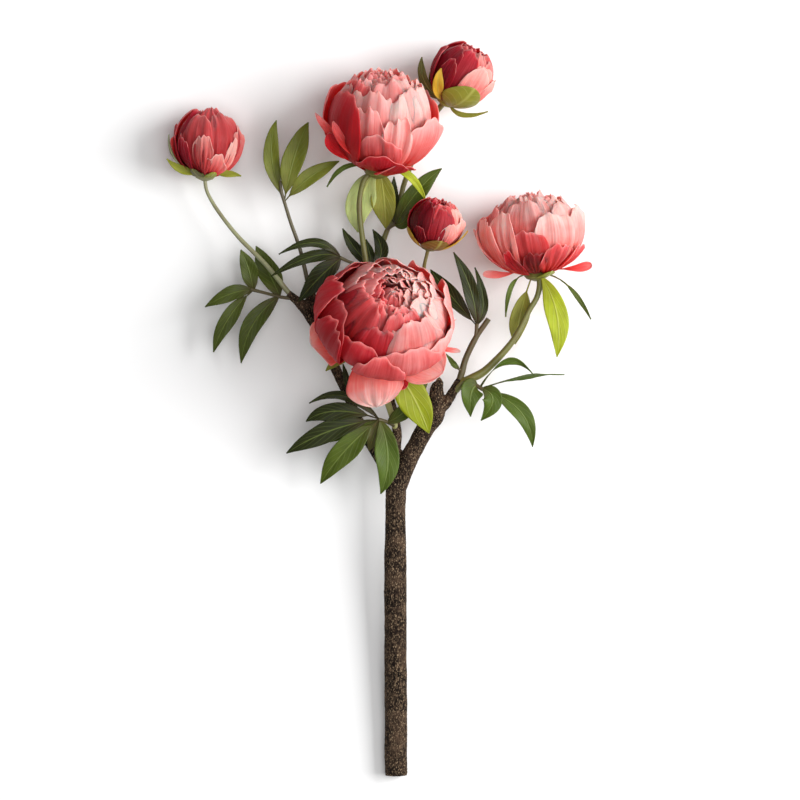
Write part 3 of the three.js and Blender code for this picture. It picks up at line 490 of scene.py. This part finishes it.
TOP_BLOOM = OPEN_BLOOM | dict(
    name="top_bloom", seed=23, centre=[-14, 656, 70], axis=[0.08, 0.95, 0.3], radius=56, height=50,
    closed=0.9, crown=0.93, frills=2.5, pale=0.75, painted_light_contrast=0.35, painted_lit_side=30,
    petals=[
        cupped(214, 50, 36, pale=-0.3, ruffle=1.2),
        cupped(326, 76, 34, pale=0.65, ruffle=0.6),
        cupped(266, 92, 30, pale=0.35, folds=7, furrow=0.8),
        cupped(272, 116, 42, shell=1.05, pale=0, ruffle=0.8),
        cupped(300, 128, 40, shell=1.07, skew=0, pale=0.1),
        cupped(250, 62, 24, shell=0.96, pale=0.6, ruffle=2.4, folds=7, notch=6),
        cupped(286, 72, 18, shell=0.99, pale=0.9, ruffle=2.4, folds=8, notch=6),
        cupped(156, 54, 38, pale=0.25),
        cupped(96, 58, 40, pale=0.4),
        cupped(32, 62, 40, pale=0.6),
    ],
    loose=[
        bowed([-34, 618, 78], [-62, 634, 100], [-80, 662, 96], 8, pale=0.5, point=0.8),
        bowed([-34, 614, 92], [-56, 630, 112], [-62, 653, 110], 9, pale=0.3, point=0.8),
        bowed([-38, 616, 84], [-62, 624, 92], [-66, 642, 100], 16, pale=0),
    ],
    sepals=[
        cupped(90, 132, 28, colour=SEPAL_GREEN),
    ],
    bracts=[
        bowed([-20, 606, 50], [-42, 580, 38], [-38, 545, 40], 29, widest=0.5, colour=LEAF_PALE),
        bowed([-16, 607, 50], [-11, 578, 39], [-10.5, 549, 38], 25, widest=0.5, colour=BRACT_OLIVE),
        bowed([-24, 608, 55], [-52, 622, 54], [-69, 590, 50], 5, widest=0.6, colour=LEAF_FRESH),
        bowed([-12, 608, 56], [14, 612, 58], [29.7, 576.8, 52], 8, widest=0.6, colour=BRACT_LIME),
    ],
)
RIGHT_BLOOM = OPEN_BLOOM | dict(
    name="right_bloom", seed=37, centre=[136, 546, 50], axis=[-0.12, 0.98, 0.1], radius=51, height=42,
    closed=0.9, crown=0.82, frills=2.4, pale=0.88, painted_light_contrast=0.3, painted_lit_side=20,
    petals=[
        cupped(178, 80, 28, flare=0.12, pale=0.9, notch=5, furrow=0.9),
        cupped(205, 66, 24, shell=1.01, flare=0.08, pale=0.95, notch=5, furrow=0.9),
        cupped(228, 54, 22, shell=0.97, pale=1, notch=5, furrow=0.9),
        cupped(262, 84, 26, shell=0.99, pale=0.25, folds=7),
        cupped(294, 64, 26, pale=1, folds=7),
        cupped(318, 46, 22, shell=0.94, skew=-0.02, pale=1, notch=4),
        cupped(346, 60, 28, pale=0.95, notch=2),
        cupped(22, 68, 32, pale=0.9),
        cupped(62, 58, 34, pale=0.8),
        cupped(104, 60, 34, pale=0.7),
        cupped(144, 62, 32, pale=0.7),
        cupped(300, 106, 26, shell=1.05, skew=0, pale=0.2, notch=5, furrow=0.9),
        cupped(334, 112, 20, shell=1.06, skew=0, pale=0.25, notch=6, furrow=0.9),
        cupped(268, 112, 18, shell=1.04, skew=0, pale=-0.9, notch=4, furrow=0.9),
        cupped(238, 110, 14, shell=1.06, skew=0, pale=-0.3, notch=6, furrow=0.9),
    ],
    loose=[
        bowed([132, 509, 50], [112, 500, 54], [87, 503, 50], 8, pale=0.8, widest=0.75, neck=0.3),
        bowed([148, 509, 50], [172, 506, 54], [196, 512, 52], 9, pale=0.4, widest=0.75, neck=0.35),
    ],
    sepals=[
        cupped(300, 150, 44, colour=SEPAL_GREEN),
        cupped(90, 142, 34, colour=SEPAL_MAROON),
    ],
    bracts=[
        bowed([145, 501, 52], [168, 466, 64], [160.7, 420, 58], 22, widest=0.5,
              colour=BRACT_LIME, fold=0.08),
        bowed([136, 501, 46], [122, 462, 38], [119.3, 432.8, 40], 19, neck=0.2, colour=BRACT_OLIVE),
        bowed([133, 503, 48], [111, 502, 52], [109.7, 460, 49], 5, neck=0.3, colour=LEAF_FRESH),
        bowed([149, 503, 48], [174, 500, 52], [195, 457.7, 46], 5, neck=0.45, colour=LEAF_GREEN),
    ],
)
LEFT_BUD = BUD | dict(
    name="left_bud", seed=41, centre=[-189, 636, 33], axis=[0.08, 1, 0], radius=32, height=33, pale=0.3,
    cup_colour=GREY_STALK,
    petals=[
        cupped(240, 40, 41, pale=0.3, folds=7, furrow=0.8),
        cupped(305, 30, 40, pale=0.35, folds=8, furrow=0.8, ruffle=1.3),
        cupped(20, 36, 41, pale=0.5),
        cupped(90, 32, 41, pale=0.3),
        cupped(160, 24, 41, pale=0.25, flare=0.04),
    ],
    overlays=[
        cupped(190, 66, 20, pale=0.05),
        cupped(222, 84, 18, shell=1.04, pale=0),
        cupped(264, 82, 21, pale=0.65),
        cupped(292, 112, 31, shell=1.06, pale=0.8),
        cupped(322, 84, 12, pale=1.4),
        cupped(340, 62, 20, pale=0.6),
        cupped(0, 76, 20, shell=1.04, pale=0.5),
        cupped(50, 74, 24, pale=0.3),
        cupped(110, 80, 26, pale=0.3),
        cupped(158, 74, 20, pale=0.3),
    ],
    sepals=[
        cupped(186, 84, 14, flare=0.1, colour=GREY_STALK),
        cupped(236, 142, 36, colour=SEPAL_DARK),
        cupped(300, 146, 40, colour=SEPAL_GREEN),
        cupped(90, 116, 34, colour=SEPAL_GREEN),
    ],
    bracts=[
        bowed([-198, 605, 38], [-214, 603, 42], [-229.5, 618.5, 42], 8, widest=0.5, colour=SEPAL_GREEN),
        bowed([-186, 605, 38], [-170, 605, 42], [-155, 601.3, 42], 7, widest=0.5, colour=SEPAL_GREEN),
    ],
)
CENTRE_BUD = BUD | dict(
    name="centre_bud", seed=53, centre=[39, 554, 72], axis=[0.25, 0.95, 0.2], radius=26, height=25,
    crown=0.95, pale=0.15, cup_colour=SEPAL_DARK,
    petals=[
        cupped(218, 32, 41, pale=-0.9),
        cupped(282, 44, 34, pale=0.1),
        cupped(326, 40, 38, pale=1),
        cupped(20, 30, 38, pale=0.7),
        cupped(85, 32, 41, pale=0.1),
        cupped(150, 28, 41, pale=-0.2),
    ],
    overlays=[
        cupped(236, 96, 22, pale=-0.9, notch=2),
        cupped(306, 76, 22, pale=0.9, notch=2),
        cupped(340, 62, 24, pale=1.1, notch=3),
        cupped(60, 78, 24, pale=0.3),
        cupped(140, 80, 26, pale=0),
    ],
    sepals=[
        cupped(200, 110, 30, colour=SEPAL_GOLD),
        cupped(350, 88, 34, flare=0.16, colour=SEPAL_GOLD),
        cupped(292, 117, 60, colour=SEPAL_BROWN),
        cupped(90, 112, 40, colour=SEPAL_GREEN),
    ],
    bracts=[],
)
TOP_BUD = BUD | dict(
    name="top_bud", seed=67, centre=[66, 703.5, 42], axis=[0.52, 0.84, 0.15], radius=30.5, height=31,
    crown=0.95, pale=0.25, cup_colour=SEPAL_GREEN,
    petals=[
        cupped(214, 38, 40, pale=-0.5),
        cupped(256, 30, 34, skew=0, pale=0.05),
        cupped(312, 50, 36, pale=0.9),
        cupped(350, 34, 40, pale=0.6),
        cupped(60, 32, 41, pale=0.4),
        cupped(140, 24, 41, pale=-0.3),
    ],
    overlays=[
        cupped(340, 68, 24, shell=1.04, flare=0.06, skew=0, pale=1, notch=3),
        cupped(300, 58, 30, shell=1.07, skew=0, pale=0.85, notch=2),
        cupped(240, 70, 20, pale=-0.4, notch=3),
        cupped(196, 60, 20, pale=-0.2, notch=3),
        cupped(20, 74, 24, pale=0.5),
        cupped(70, 76, 26, pale=0.3),
        cupped(130, 74, 26, pale=0),
    ],
    sepals=[
        cupped(298, 95, 50, colour=BRACT_OLIVE),
        cupped(60, 110, 36, colour=SEPAL_GREEN),
        cupped(140, 108, 30, colour=SEPAL_GREEN),
    ],
    bracts=[
        bowed([48, 677, 39], [22, 690, 48], [26, 720, 50], 12, widest=0.5, roll=-35, colour=SEPAL_DARK),
        bowed([48, 676, 42], [37, 684, 72], [45, 707.5, 72], 11, widest=0.6, colour=SEPAL_GOLD),
        bowed([53, 674, 38], [62, 655, 42], [92, 665.7, 46], 5, widest=0.5, colour=BRACT_OLIVE),
    ],
)
HEADS = [FRONT_BLOOM, TOP_BLOOM, RIGHT_BLOOM, LEFT_BUD, CENTRE_BUD, TOP_BUD]

# Leaves: name of the solid, colour, the leaf stalk in stations of [x, y, z, radius], and leaflets along it
LEAVES = [
    ("upper_left_leaf", LEAF_OLIVE, [
        [-88, 493, 42, 2.3], [-94, 520, 43, 2], [-98, 534, 44, 1.9], [-105.7, 555.6, 46, 1.8],
        [-110.8, 572.2, 47.5, 1.7], [-114.6, 585, 48.5, 1.7], [-116, 596, 49, 1.6]], [
        bowed([-112, 575, 47.6], [-133, 624, 50], [-119.3, 656.4, 56], 16, neck=0.1),
        bowed([-112, 574, 47.6], [-104, 624, 60], [-87.5, 654.5, 54], 22, neck=0.1),
        bowed([-111, 576, 47.6], [-88, 604, 56], [-57, 616, 42], 16, neck=0.1)]),
    ("left_leaf", LEAF_DEEP, [
        [-102, 478.5, 40.5, 1.9], [-115, 480, 40, 1.7], [-130.3, 484, 38, 1.6], [-145, 487.8, 36.5, 2]], [
        bowed([-143, 487, 36.8], [-146, 508, 45], [-155.3, 527.4, 45], 17),
        bowed([-116, 480.5, 39.6], [-128, 506, 28], [-140.5, 531.5, 28], 22),
        bowed([-144, 487.5, 36.6], [-166, 487, 44], [-191.2, 470.3, 36], 15),
        bowed([-143, 487, 36.8], [-172, 463, 44], [-183, 425, 32], 16, neck=0.12),
        bowed([-117, 480.6, 39.5], [-151, 457, 46], [-155.3, 414.1, 32], 19)]),
    ("inner_left_leaf", LEAF_DARK, [
        [-30, 511, 43.5, 1.7], [-44.5, 514.3, 50, 1.6], [-56.5, 519.5, 57, 1.9]], [
        bowed([-55, 519, 57], [-77, 547, 68], [-117, 522.3, 62], 9),
        bowed([-55, 519, 57], [-77, 531, 62], [-125.2, 500.4, 56], 12),
        bowed([-55, 518.6, 57], [-76, 502, 64], [-97.6, 475.4, 56], 20)]),
    ("lower_left_leaf", LEAF_DARK, [
        [-1, 351, 40, 1.9], [-9, 355, 47, 1.8], [-18, 357.5, 53, 2.2]], [
        bowed([-17, 358, 53], [-52, 396, 60], [-86.7, 373.7, 56], 9),
        bowed([-17, 358, 53], [-66, 375, 62], [-89.9, 355.5, 50], 18, neck=0.12),
        bowed([-17, 357.6, 53], [-68, 352, 60], [-109.6, 323.7, 46], 21, neck=0.12),
        bowed([-17, 357, 53], [-45, 348, 49], [-66, 335, 47], 12, colour=LEAF_GREEN),
        bowed([-17, 357, 53], [-53, 331, 58], [-75.6, 293.3, 42], 24, neck=0.1, colour=LEAF_GREEN),
        bowed([-17, 357, 53], [-22, 343, 50], [-27, 326, 47], 14, colour=SEPAL_DARK),
        bowed([-16, 357, 53], [-1, 318, 60], [-15.3, 283.1, 52], 24, colour=LEAF_FRESH),
        bowed([-9, 355, 47], [10, 360, 55], [33, 398, 55], 15, colour=LEAF_GREEN)]),
    ("middle_leaf", LEAF_DARK, [
        [-27.6, 492, 41, 1.6], [-26, 503, 38, 1.6], [-24, 511, 36.5, 1.9]], [
        bowed([-24, 510, 36.6], [-42, 526, 38], [-53.6, 549, 36], 12),
        bowed([-24, 510, 36.6], [-26, 524, 35], [-30, 538, 33], 9),
        bowed([-24, 509.5, 36.6], [-6, 524, 35], [-23.4, 548, 33], 14, neck=0.1)]),
    ("upper_right_leaf", LEAF_GREEN, [
        [-8.5, 548, 24, 1.8], [-5, 551, 30, 1.7], [0, 553.5, 34, 1.9]], [
        bowed([-1, 553, 33.6], [19.5, 590, 44], [45.9, 608.8, 44], 19),
        bowed([-1, 553, 33.6], [-3, 575, 31], [-2, 601, 29], 12, colour=LEAF_DARK),
        bowed([-1, 553, 33.6], [8, 551, 38], [16, 568, 36], 12)]),
    ("right_upper_leaf", LEAF_DARK, [
        [79.4, 437, 53, 2.1], [80.4, 446, 54.5, 1.9], [80.8, 453.5, 56, 2.1]], [
        bowed([80.8, 452, 56], [79, 488, 62], [57.4, 524.5, 62], 15),
        bowed([81, 452, 56], [94, 472, 59], [78.7, 509.4, 56], 10),
        bowed([80.5, 451.5, 55.8], [50, 486, 50], [34.5, 507.5, 43], 16, neck=0.08)]),
    ("right_lower_leaf", LEAF_FRESH, [
        [74, 398, 48.5, 2.2], [80, 392, 51, 2], [87, 387.5, 52.5, 2.2]], [
        bowed([81, 391.5, 51.6], [72, 390, 58], [74.6, 360.4, 50], 23, widest=0.35),
        bowed([85.5, 388.5, 52.4], [108, 382, 58], [85, 356.5, 50], 20),
        bowed([86, 388, 52.4], [136, 373, 60], [136.5, 330.1, 50], 17, neck=0.12),
        bowed([86, 388, 52.4], [126, 406, 52], [168.4, 402.2, 56], 12, neck=0.1, roll=75),
        bowed([84, 389.5, 52], [112, 436, 70], [137.8, 401.6, 56], 8, neck=0.2, roll=40)]),
    ("small_left_leaf", LEAF_DARK, [[-46.5, 378, 41, 1.4], [-46, 384, 45.6, 1.2]], [
        bowed([-46, 383, 45], [-49, 398, 49], [-53, 413, 48], 6.5)]),
    ("small_right_leaf", LEAF_GREEN, [[66.5, 406, 49, 1.4], [62, 408.5, 51, 1.2]], [
        bowed([63, 408, 50.6], [58, 412, 54], [50, 423, 56], 5.5)]),
]


# Pieces


def woody_stem(material):
    """The trunk and its limbs, grown together, with bark relief."""
    limbs = [tube(limb, rings=14, tone=linear(BARK_BROWN))
             for limb in (TRUNK, RIGHT_LIMB, SIDE_LIMB, LEFT_LIMB, LEFT_SPUR, MIDDLE_SHOOT)]
    piece = joined(limbs)
    only(piece)
    piece.data.remesh_voxel_size = BARK_GRAIN * MILLIMETRE
    bpy.ops.object.voxel_remesh()
    count = len(piece.data.vertices)
    points, normals = np.empty(3 * count), np.empty(3 * count)
    piece.data.vertices.foreach_get("co", points)
    piece.data.vertices.foreach_get("normal", normals)
    points, normals = points.reshape(-1, 3), normals.reshape(-1, 3)
    relief = np.empty(count)
    for i, (x, y, z) in enumerate(points):
        relief[i] = sum(height * noise.noise(Vector((x * across, y * along, z * across)))
                        for height, across, along in BARK_RELIEF) - BARK_SINK
    points = points + normals * relief[:, None]
    points[:, 2] = np.maximum(points[:, 2], 0.0)
    piece.data.vertices.foreach_set("co", points.ravel())
    piece.data.update()
    bpy.ops.object.shade_smooth()
    piece.data.materials.clear()
    piece.data.materials.append(material)
    finish_piece(piece, "bark_of_woody_stem", "woody_stem", "bark")


def stalk(name, colour, stations, material):
    """A green stalk with small swellings along it."""
    path = smooth_path(stations, STATION_STEP)
    swelling = [noise.noise(Vector(point[:3] * 0.09)) for point in path]
    path[:, 3] *= 1 + 0.1 * np.array(swelling)
    piece = tube(path.tolist(), rings=6, tone=linear(colour), material=material)
    finish_piece(piece, "skin_of_" + name, name, "green_stalk")


def head_petals(bloom):
    """Every petal that follows a shell: the outer ones, those laid on them, then the inner rings."""
    draw = seeded_draw(bloom["seed"])
    shared = dict(flare=bloom["open"], ruffle=bloom["ruffle"], notch=3, furrow=0.3, dents=bloom["ruffle"])
    overlay_shape = dict(shell=1.05, notch=5, furrow=0.6, curl=0.05, round=20)
    petals = [shared | dict(phase=draw(0, 6)) | petal for petal in bloom["petals"]]
    for petal in bloom["overlays"]:
        petals.append(shared | overlay_shape | dict(phase=draw(0, 6)) | petal)
    for ring in bloom["inner"]:
        for i in range(ring["count"]):
            turn = ring["start"] + 360 * i / ring["count"] + draw(-14, 14)
            # How far the petal faces the lit side; the contrast turns this into painted light and shade on
            # its pale share.
            side = ring["shell"] * math.cos(math.radians(turn - bloom["painted_lit_side"]))
            petals.append(ring | dict(
                turn=turn, tip=bloom["closed"] * ring["tip"] + draw(-9, 9),
                taller=bloom["crown"] * ring["taller"], shell=ring["shell"] + draw(-0.03, 0.03),
                spread=ring["spread"] * draw(0.85, 1.15), flare=draw(-0.03, 0.09),
                phase=draw(0, 6), folds=ring["folds"] * draw(0.8, 1.2),
                ruffle=bloom["frills"] * ring["share"] * draw(0.7, 1.3),
                round=draw(0, 10), notch=draw(2, 4), furrow=draw(0.2, 0.6), dents=draw(2, 4),
                curl=draw(0, 0.05), skew=draw(-0.03, 0.05), tuck=0.07, fringe=0.2,
                pale=bloom["pale"] + bloom["painted_light_contrast"] * side + draw(-0.25, 0.25)))
    return petals


def petal_tone(petal, draw):
    """Red is a random number, green the pale share and blue the share of painted shade below a pale share of
    0.
    """
    pale = petal.get("pale", 0.5)
    return draw(0, 1), min(max(pale, 0), PALEST), min(max(-pale, 0), 1)


def petal_head(bloom, material, core_material):
    """All the petals of one bloom or bud round a plain core."""
    draw = seeded_draw(bloom["seed"] + 1)
    sheets = []
    for petal in head_petals(bloom):
        columns = PETAL_COLUMNS + round(2 * petal.get("folds", 4.5) + 50 * petal.get("fringe", 0))
        grid = (PETAL_ROWS, columns, PETAL_CROWDING)
        sheets.append(sheet(shell_surface(bloom, petal), grid, petal_tone(petal, draw)))
    loose_shape = dict(widest=0.66, point=0.5, fold=0, cup=0.2, wave=1.5, frill=0.8)
    for petal in bloom["loose"]:
        surface = blade_surface(loose_shape | petal)
        sheets.append(sheet(surface, LOOSE_PETAL_GRID, petal_tone(petal, draw)))
    petals = walled(sheets, PETAL_WALL, material)
    core = axis_body(bloom, bloom["core"], core_material, HEART_RED)
    finish_piece(joined([petals, core]), "petals_of_" + bloom["name"], bloom["name"], bloom["slot"])


def axis_body(bloom, stations, material, colour):
    """A round body along the bloom's axis, through [height share, radius share] stations."""
    centre, axis, _, _ = bloom_axes(bloom)
    path = [[*(centre + axis * share * bloom["height"]), width * bloom["radius"]]
            for share, width in stations]
    return tube(path, rings=8, tone=linear(colour), material=material, step=3)


def sepal_cup(bloom, material):
    """The sepals and bracts below a bloom, on a cup that holds them."""
    shared = dict(root=bloom["sepal_root"], shell=1.12, skew=0, round=26, notch=0, furrow=0.15)
    sheets = []
    for sepal in bloom["sepals"]:
        surface = shell_surface(bloom, shared | sepal)
        sheets.append(sheet(surface, SEPAL_GRID, linear(sepal["colour"])))
    for bract in bloom["bracts"]:
        surface = blade_surface(dict(wave=0.8, relief=0.12) | bract)
        sheets.append(sheet(surface, BRACT_GRID, linear(bract["colour"])))
    cup = axis_body(bloom, bloom["cup"], material, bloom["cup_colour"])
    leaves = walled(sheets, SEPAL_WALL, material)
    name = bloom["name"] + "_sepals"
    finish_piece(joined([leaves, cup]), "skin_of_" + name, name, "sepal")


def leaf(name, colour, stalk_stations, leaflets, leaf_material, stalk_material):
    """Leaflets on one leaf stalk."""
    sheets = []
    for leaflet in leaflets:
        surface = blade_surface(dict(relief=0.16) | leaflet)
        sheets.append(sheet(surface, LEAFLET_GRID, linear(leaflet.get("colour", colour))))
    blades = walled(sheets, LEAF_WALL, leaf_material)
    stem = tube(stalk_stations, rings=4, tone=linear(DARK_STALK), material=stalk_material)
    finish_piece(joined([blades, stem]), "skin_of_" + name, name, "leaf")


# Materials


class Paint:
    """A material's nodes, added and linked in reading order."""

    def __init__(self, name):
        self.material = bpy.data.materials.new(name)
        self.material.use_nodes = True
        self.tree = self.material.node_tree
        self.shader = self.tree.nodes["Principled BSDF"]

    def node(self, kind, inputs=None, **settings):
        made = self.tree.nodes.new(kind)
        for key, value in settings.items():
            setattr(made, key, value)
        for key, value in (inputs or {}).items():
            if isinstance(value, bpy.types.NodeSocket):
                self.tree.links.new(value, made.inputs[key])
            else:
                made.inputs[key].default_value = value
        return made

    def math(self, operation, first, second=0.0):
        return self.node("ShaderNodeMath", {0: first, 1: second}, operation=operation).outputs[0]

    def plus(self, first, second):
        return self.math("ADD", first, second)

    def minus(self, first, second):
        return self.math("SUBTRACT", first, second)

    def times(self, first, second):
        return self.math("MULTIPLY", first, second)

    def span(self, value, start, end, top=1.0):
        """From 0 where the value is at its start to top where it is at its end."""
        return self.node("ShaderNodeMapRange", {0: value, 1: start, 2: end, 4: top}).outputs[0]

    def sheet_place(self):
        """Across and along the sheet that a petal or leaf was shaped from, each from 0 to 1."""
        place = self.node("ShaderNodeSeparateXYZ", {0: self.node("ShaderNodeUVMap").outputs[0]})
        return place.outputs[0], place.outputs[1]

    def from_midrib(self, across):
        """0 at the midrib and 1 at both edges."""
        return self.times(self.math("ABSOLUTE", self.minus(across, 0.5)), 2.0)

    def spot(self):
        """The point itself, in metres."""
        return self.node("ShaderNodeTexCoord").outputs["Object"]

    def tone(self):
        return self.node("ShaderNodeAttribute", attribute_name="tone").outputs["Color"]

    def mix(self, share, first, second, blend="MIX"):
        made = self.node("ShaderNodeMix", {0: share}, data_type="RGBA", blend_type=blend)
        for socket, value in ((made.inputs[6], first), (made.inputs[7], second)):
            if isinstance(value, bpy.types.NodeSocket):
                self.tree.links.new(value, socket)
            else:
                socket.default_value = (*linear(value), 1)
        return made.outputs[2]

    def ramp(self, value, stops):
        made = self.node("ShaderNodeValToRGB", {0: value})
        elements = made.color_ramp.elements
        while len(elements) < len(stops):
            elements.new(0.5)
        for element, (place, colour) in zip(elements, stops):
            element.position = place
            element.color = (*linear(colour), 1)
        return made.outputs[0]

    def noise(self, vector, scale, detail=2.0, roughness=0.5):
        made = self.node("ShaderNodeTexNoise", {"Vector": vector, "Scale": scale, "Detail": detail,
                                               "Roughness": roughness})
        return made.outputs["Fac"]

    def bump(self, height, strength, distance):
        """Fine relief, with its distance in millimetres."""
        made = self.node("ShaderNodeBump", {"Height": height, "Strength": strength,
                                            "Distance": distance * MILLIMETRE})
        self.tree.links.new(made.outputs[0], self.shader.inputs["Normal"])

    def cover(self, colour, roughness, shine=0.5):
        """The colour, roughness and shine of the whole surface."""
        self.tree.links.new(colour, self.shader.inputs["Base Color"])
        self.shader.inputs["Roughness"].default_value = roughness
        self.shader.inputs["Specular IOR Level"].default_value = shine

    def glow(self, weight, colour, depth):
        """Light that passes through a thin petal or leaf, to a depth in millimetres."""
        self.shader.inputs["Subsurface Weight"].default_value = weight
        self.shader.inputs["Subsurface Radius"].default_value = colour
        self.shader.inputs["Subsurface Scale"].default_value = depth * MILLIMETRE


def petal_paint(name, deep, pale, glow):
    """Soft petals: deep at the root, paler to the edge, with fine streaks along them."""
    paint = Paint(name)
    across, along = paint.sheet_place()
    tone = paint.node("ShaderNodeSeparateColor", {0: paint.tone()})
    # depth is the share of painted shade, read from the tone's blue.
    random, paleness, depth = tone.outputs[0], tone.outputs[1], tone.outputs[2]
    strands = paint.node("ShaderNodeCombineXYZ", {
        0: paint.times(across, 26.0), 1: paint.times(along, 1.6), 2: paint.times(random, 40.0)}).outputs[0]
    streak = paint.noise(strands, 1.0, 4.0, 0.6)
    crease = paint.noise(strands, 0.42)
    blotch = paint.noise(paint.spot(), 45.0, 3.0)
    shifted = paint.plus(along, paint.times(paint.minus(blotch, 0.5), 0.5))
    shifted = paint.plus(shifted, paint.times(paint.minus(streak, 0.5), 0.5))
    shifted = paint.plus(shifted, paint.times(paint.minus(paleness, 0.5), 0.3))
    colour = paint.mix(paleness, paint.ramp(shifted, deep), paint.ramp(shifted, pale))
    # A pale rim at the tips and edges, partly the petal's paler margin and partly a painted highlight, weaker
    # on deep petals.
    edge = paint.times(paint.from_midrib(across), paint.math("POWER", along, 0.6))
    edge_and_highlight = paint.span(paint.math("MAXIMUM", along, edge), 0.91, 1.0)
    edge_and_highlight = paint.times(edge_and_highlight, paint.plus(0.25, paint.times(paleness, 0.25)))
    colour = paint.mix(edge_and_highlight, colour, PALE_EDGE_AND_HIGHLIGHT)
    shade = paint.plus(0.9, paint.times(random, 0.16))
    # Painted shade: petals marked as shaded are darkened by up to 0.6.
    shade = paint.minus(shade, paint.times(depth, 0.6))
    colour = paint.mix(1.0, colour, shade, "MULTIPLY")
    paint.cover(colour, 0.55, shine=0.15)
    paint.glow(glow, (1.0, 0.26, 0.2), 3.5)
    paint.bump(paint.plus(crease, paint.times(streak, 0.2)), 0.55, 3.0)
    return paint.material


def leaf_paint(name, vein_colour, root_colour, roughness, veins=8.0):
    """Waxy leaf skin in its tone, with a midrib, side veins and a darker root."""
    paint = Paint(name)
    across, along = paint.sheet_place()
    blotch = paint.noise(paint.spot(), 60.0, 4.0)
    side = paint.from_midrib(across)
    slant = paint.minus(paint.times(along, veins), paint.times(side, 2.6))
    slant = paint.plus(slant, paint.times(blotch, 0.3))
    wave = paint.math("ABSOLUTE", paint.minus(paint.math("FRACT", slant), 0.5))
    vein = paint.span(wave, 0.11, 0.0)
    lines = paint.math("MAXIMUM", paint.span(side, 0.1, 0.0), paint.times(vein, 0.4))
    shade = paint.plus(0.62, paint.times(blotch, 0.75))
    colour = paint.mix(1.0, paint.tone(), shade, "MULTIPLY")
    colour = paint.mix(paint.times(paint.span(along, 0.3, 0.0), 0.6), colour, root_colour)
    colour = paint.mix(paint.times(lines, 0.55), colour, vein_colour)
    paint.cover(colour, roughness, shine=0.22)
    paint.glow(0.15, (0.5, 1.0, 0.2), 1.0)
    paint.bump(paint.plus(lines, paint.times(blotch, 0.6)), 0.6, 0.8)
    return paint.material


def stalk_paint():
    """Smooth stalk skin in its tone, streaked and browner in places."""
    paint = Paint("stalk_skin")
    spot = paint.spot()
    patch = paint.noise(spot, 35.0, 3.0)
    grain = paint.noise(spot, 600.0, 3.0)
    colour = paint.mix(paint.span(patch, 0.45, 0.75, top=0.6), paint.tone(), STALK_BROWN)
    shade = paint.plus(0.7, paint.times(grain, 0.55))
    paint.cover(paint.mix(1.0, colour, shade, "MULTIPLY"), 0.45)
    paint.bump(grain, 0.2, 0.4)
    return paint.material


def bark_paint():
    """Dark, dull bark with brown patches and tan specks."""
    paint = Paint("bark")
    spot = paint.spot()
    long_spot = paint.node("ShaderNodeMapping", {"Vector": spot, "Scale": (1.0, 0.45, 1.0)}).outputs[0]
    patch = paint.noise(spot, 55.0, 4.0, 0.6)
    grain = paint.noise(long_spot, 420.0, 6.0, 0.7)
    speck = paint.noise(long_spot, 1100.0, 3.0, 0.6)
    colour = paint.ramp(patch, [(0.3, BARK_BLACK), (0.5, BARK_DARK), (0.75, BARK_BROWN)])
    colour = paint.mix(paint.span(grain, 0.5, 0.7, top=0.65), colour, BARK_TAN)
    colour = paint.mix(paint.times(paint.span(speck, 0.58, 0.66), 0.8), colour, BARK_SPECK)
    colour = paint.mix(paint.times(paint.span(grain, 0.4, 0.3), 0.8), colour, BARK_PIT)
    paint.cover(colour, 0.9, shine=0.1)
    paint.bump(paint.plus(grain, speck), 0.8, 1.6)
    return paint.material


def plain_paint(name, colour, roughness):
    paint = Paint(name)
    paint.shader.inputs["Base Color"].default_value = (*linear(colour), 1)
    paint.shader.inputs["Roughness"].default_value = roughness
    return paint.material


# Dressing the branch

petal_skin = petal_paint("petal", BLOOM_DEEP, BLOOM_PALE, 0.8)
bud_skin = petal_paint("bud_petal", BUD_DEEP, BUD_PALE, 0.65)
heart_skin = plain_paint("heart", HEART_RED, 0.7)
leaf_skin = leaf_paint("leaf", LEAF_VEIN, LEAF_ROOT, 0.46)
sepal_skin = leaf_paint("sepal", SEPAL_VEIN, SEPAL_ROOT, 0.45, veins=5.0)
stalk_skin = stalk_paint()
bark_skin = bark_paint()

woody_stem(bark_skin)
for stalk_name, stalk_colour, stalk_path in STALKS:
    stalk(stalk_name, stalk_colour, stalk_path, stalk_skin)
for bloom in HEADS:
    petal_head(bloom, bud_skin if bloom["slot"] == "bud_petal" else petal_skin, heart_skin)
    sepal_cup(bloom, sepal_skin)
for leaf_name, leaf_colour, leaf_stalk, leaflets in LEAVES:
    leaf(leaf_name, leaf_colour, leaf_stalk, leaflets, leaf_skin, stalk_skin)


# Floor, lights and camera, in metres


def floor():
    bpy.ops.mesh.primitive_plane_add(size=12, location=(0, 0, 0))
    plane = bpy.context.object
    plane.name = "floor"
    plane.data.materials.append(plain_paint("floor", FLOOR_WHITE, 0.9))


def lamp(name, place, size, power):
    """A soft, square lamp that points at the branch, a little nearer the blooms than its middle."""
    bpy.ops.object.light_add(type="AREA", location=place)
    light = bpy.context.object
    light.name = name
    light.data.size = size
    light.data.energy = power
    light.rotation_euler = (Vector(LAMP_AIM) - Vector(place)).to_track_quat("-Z", "Y").to_euler()


def camera():
    """Straight above the branch, with a long lens that sees about 0.8 m from side to side."""
    bpy.ops.object.camera_add(location=CAMERA_PLACE, rotation=(0, 0, 0))
    bpy.context.object.data.lens = LENS
    bpy.context.object.data.clip_end = 50
    bpy.context.scene.camera = bpy.context.object


def sky():
    """Even white light from all round."""
    world = bpy.data.worlds.new("studio")
    bpy.context.scene.world = world
    world.use_nodes = True
    background = world.node_tree.nodes["Background"]
    background.inputs["Color"].default_value = (1, 1, 1, 1)
    background.inputs["Strength"].default_value = SKY_LIGHT


floor()
lamp("key", (2.8, 0.4, 2.3), size=2.4, power=168)
lamp("overhead", (0.5, -0.2, 4.0), size=2.5, power=72)
camera()
sky()
bpy.context.scene.view_settings.view_transform = "Standard"
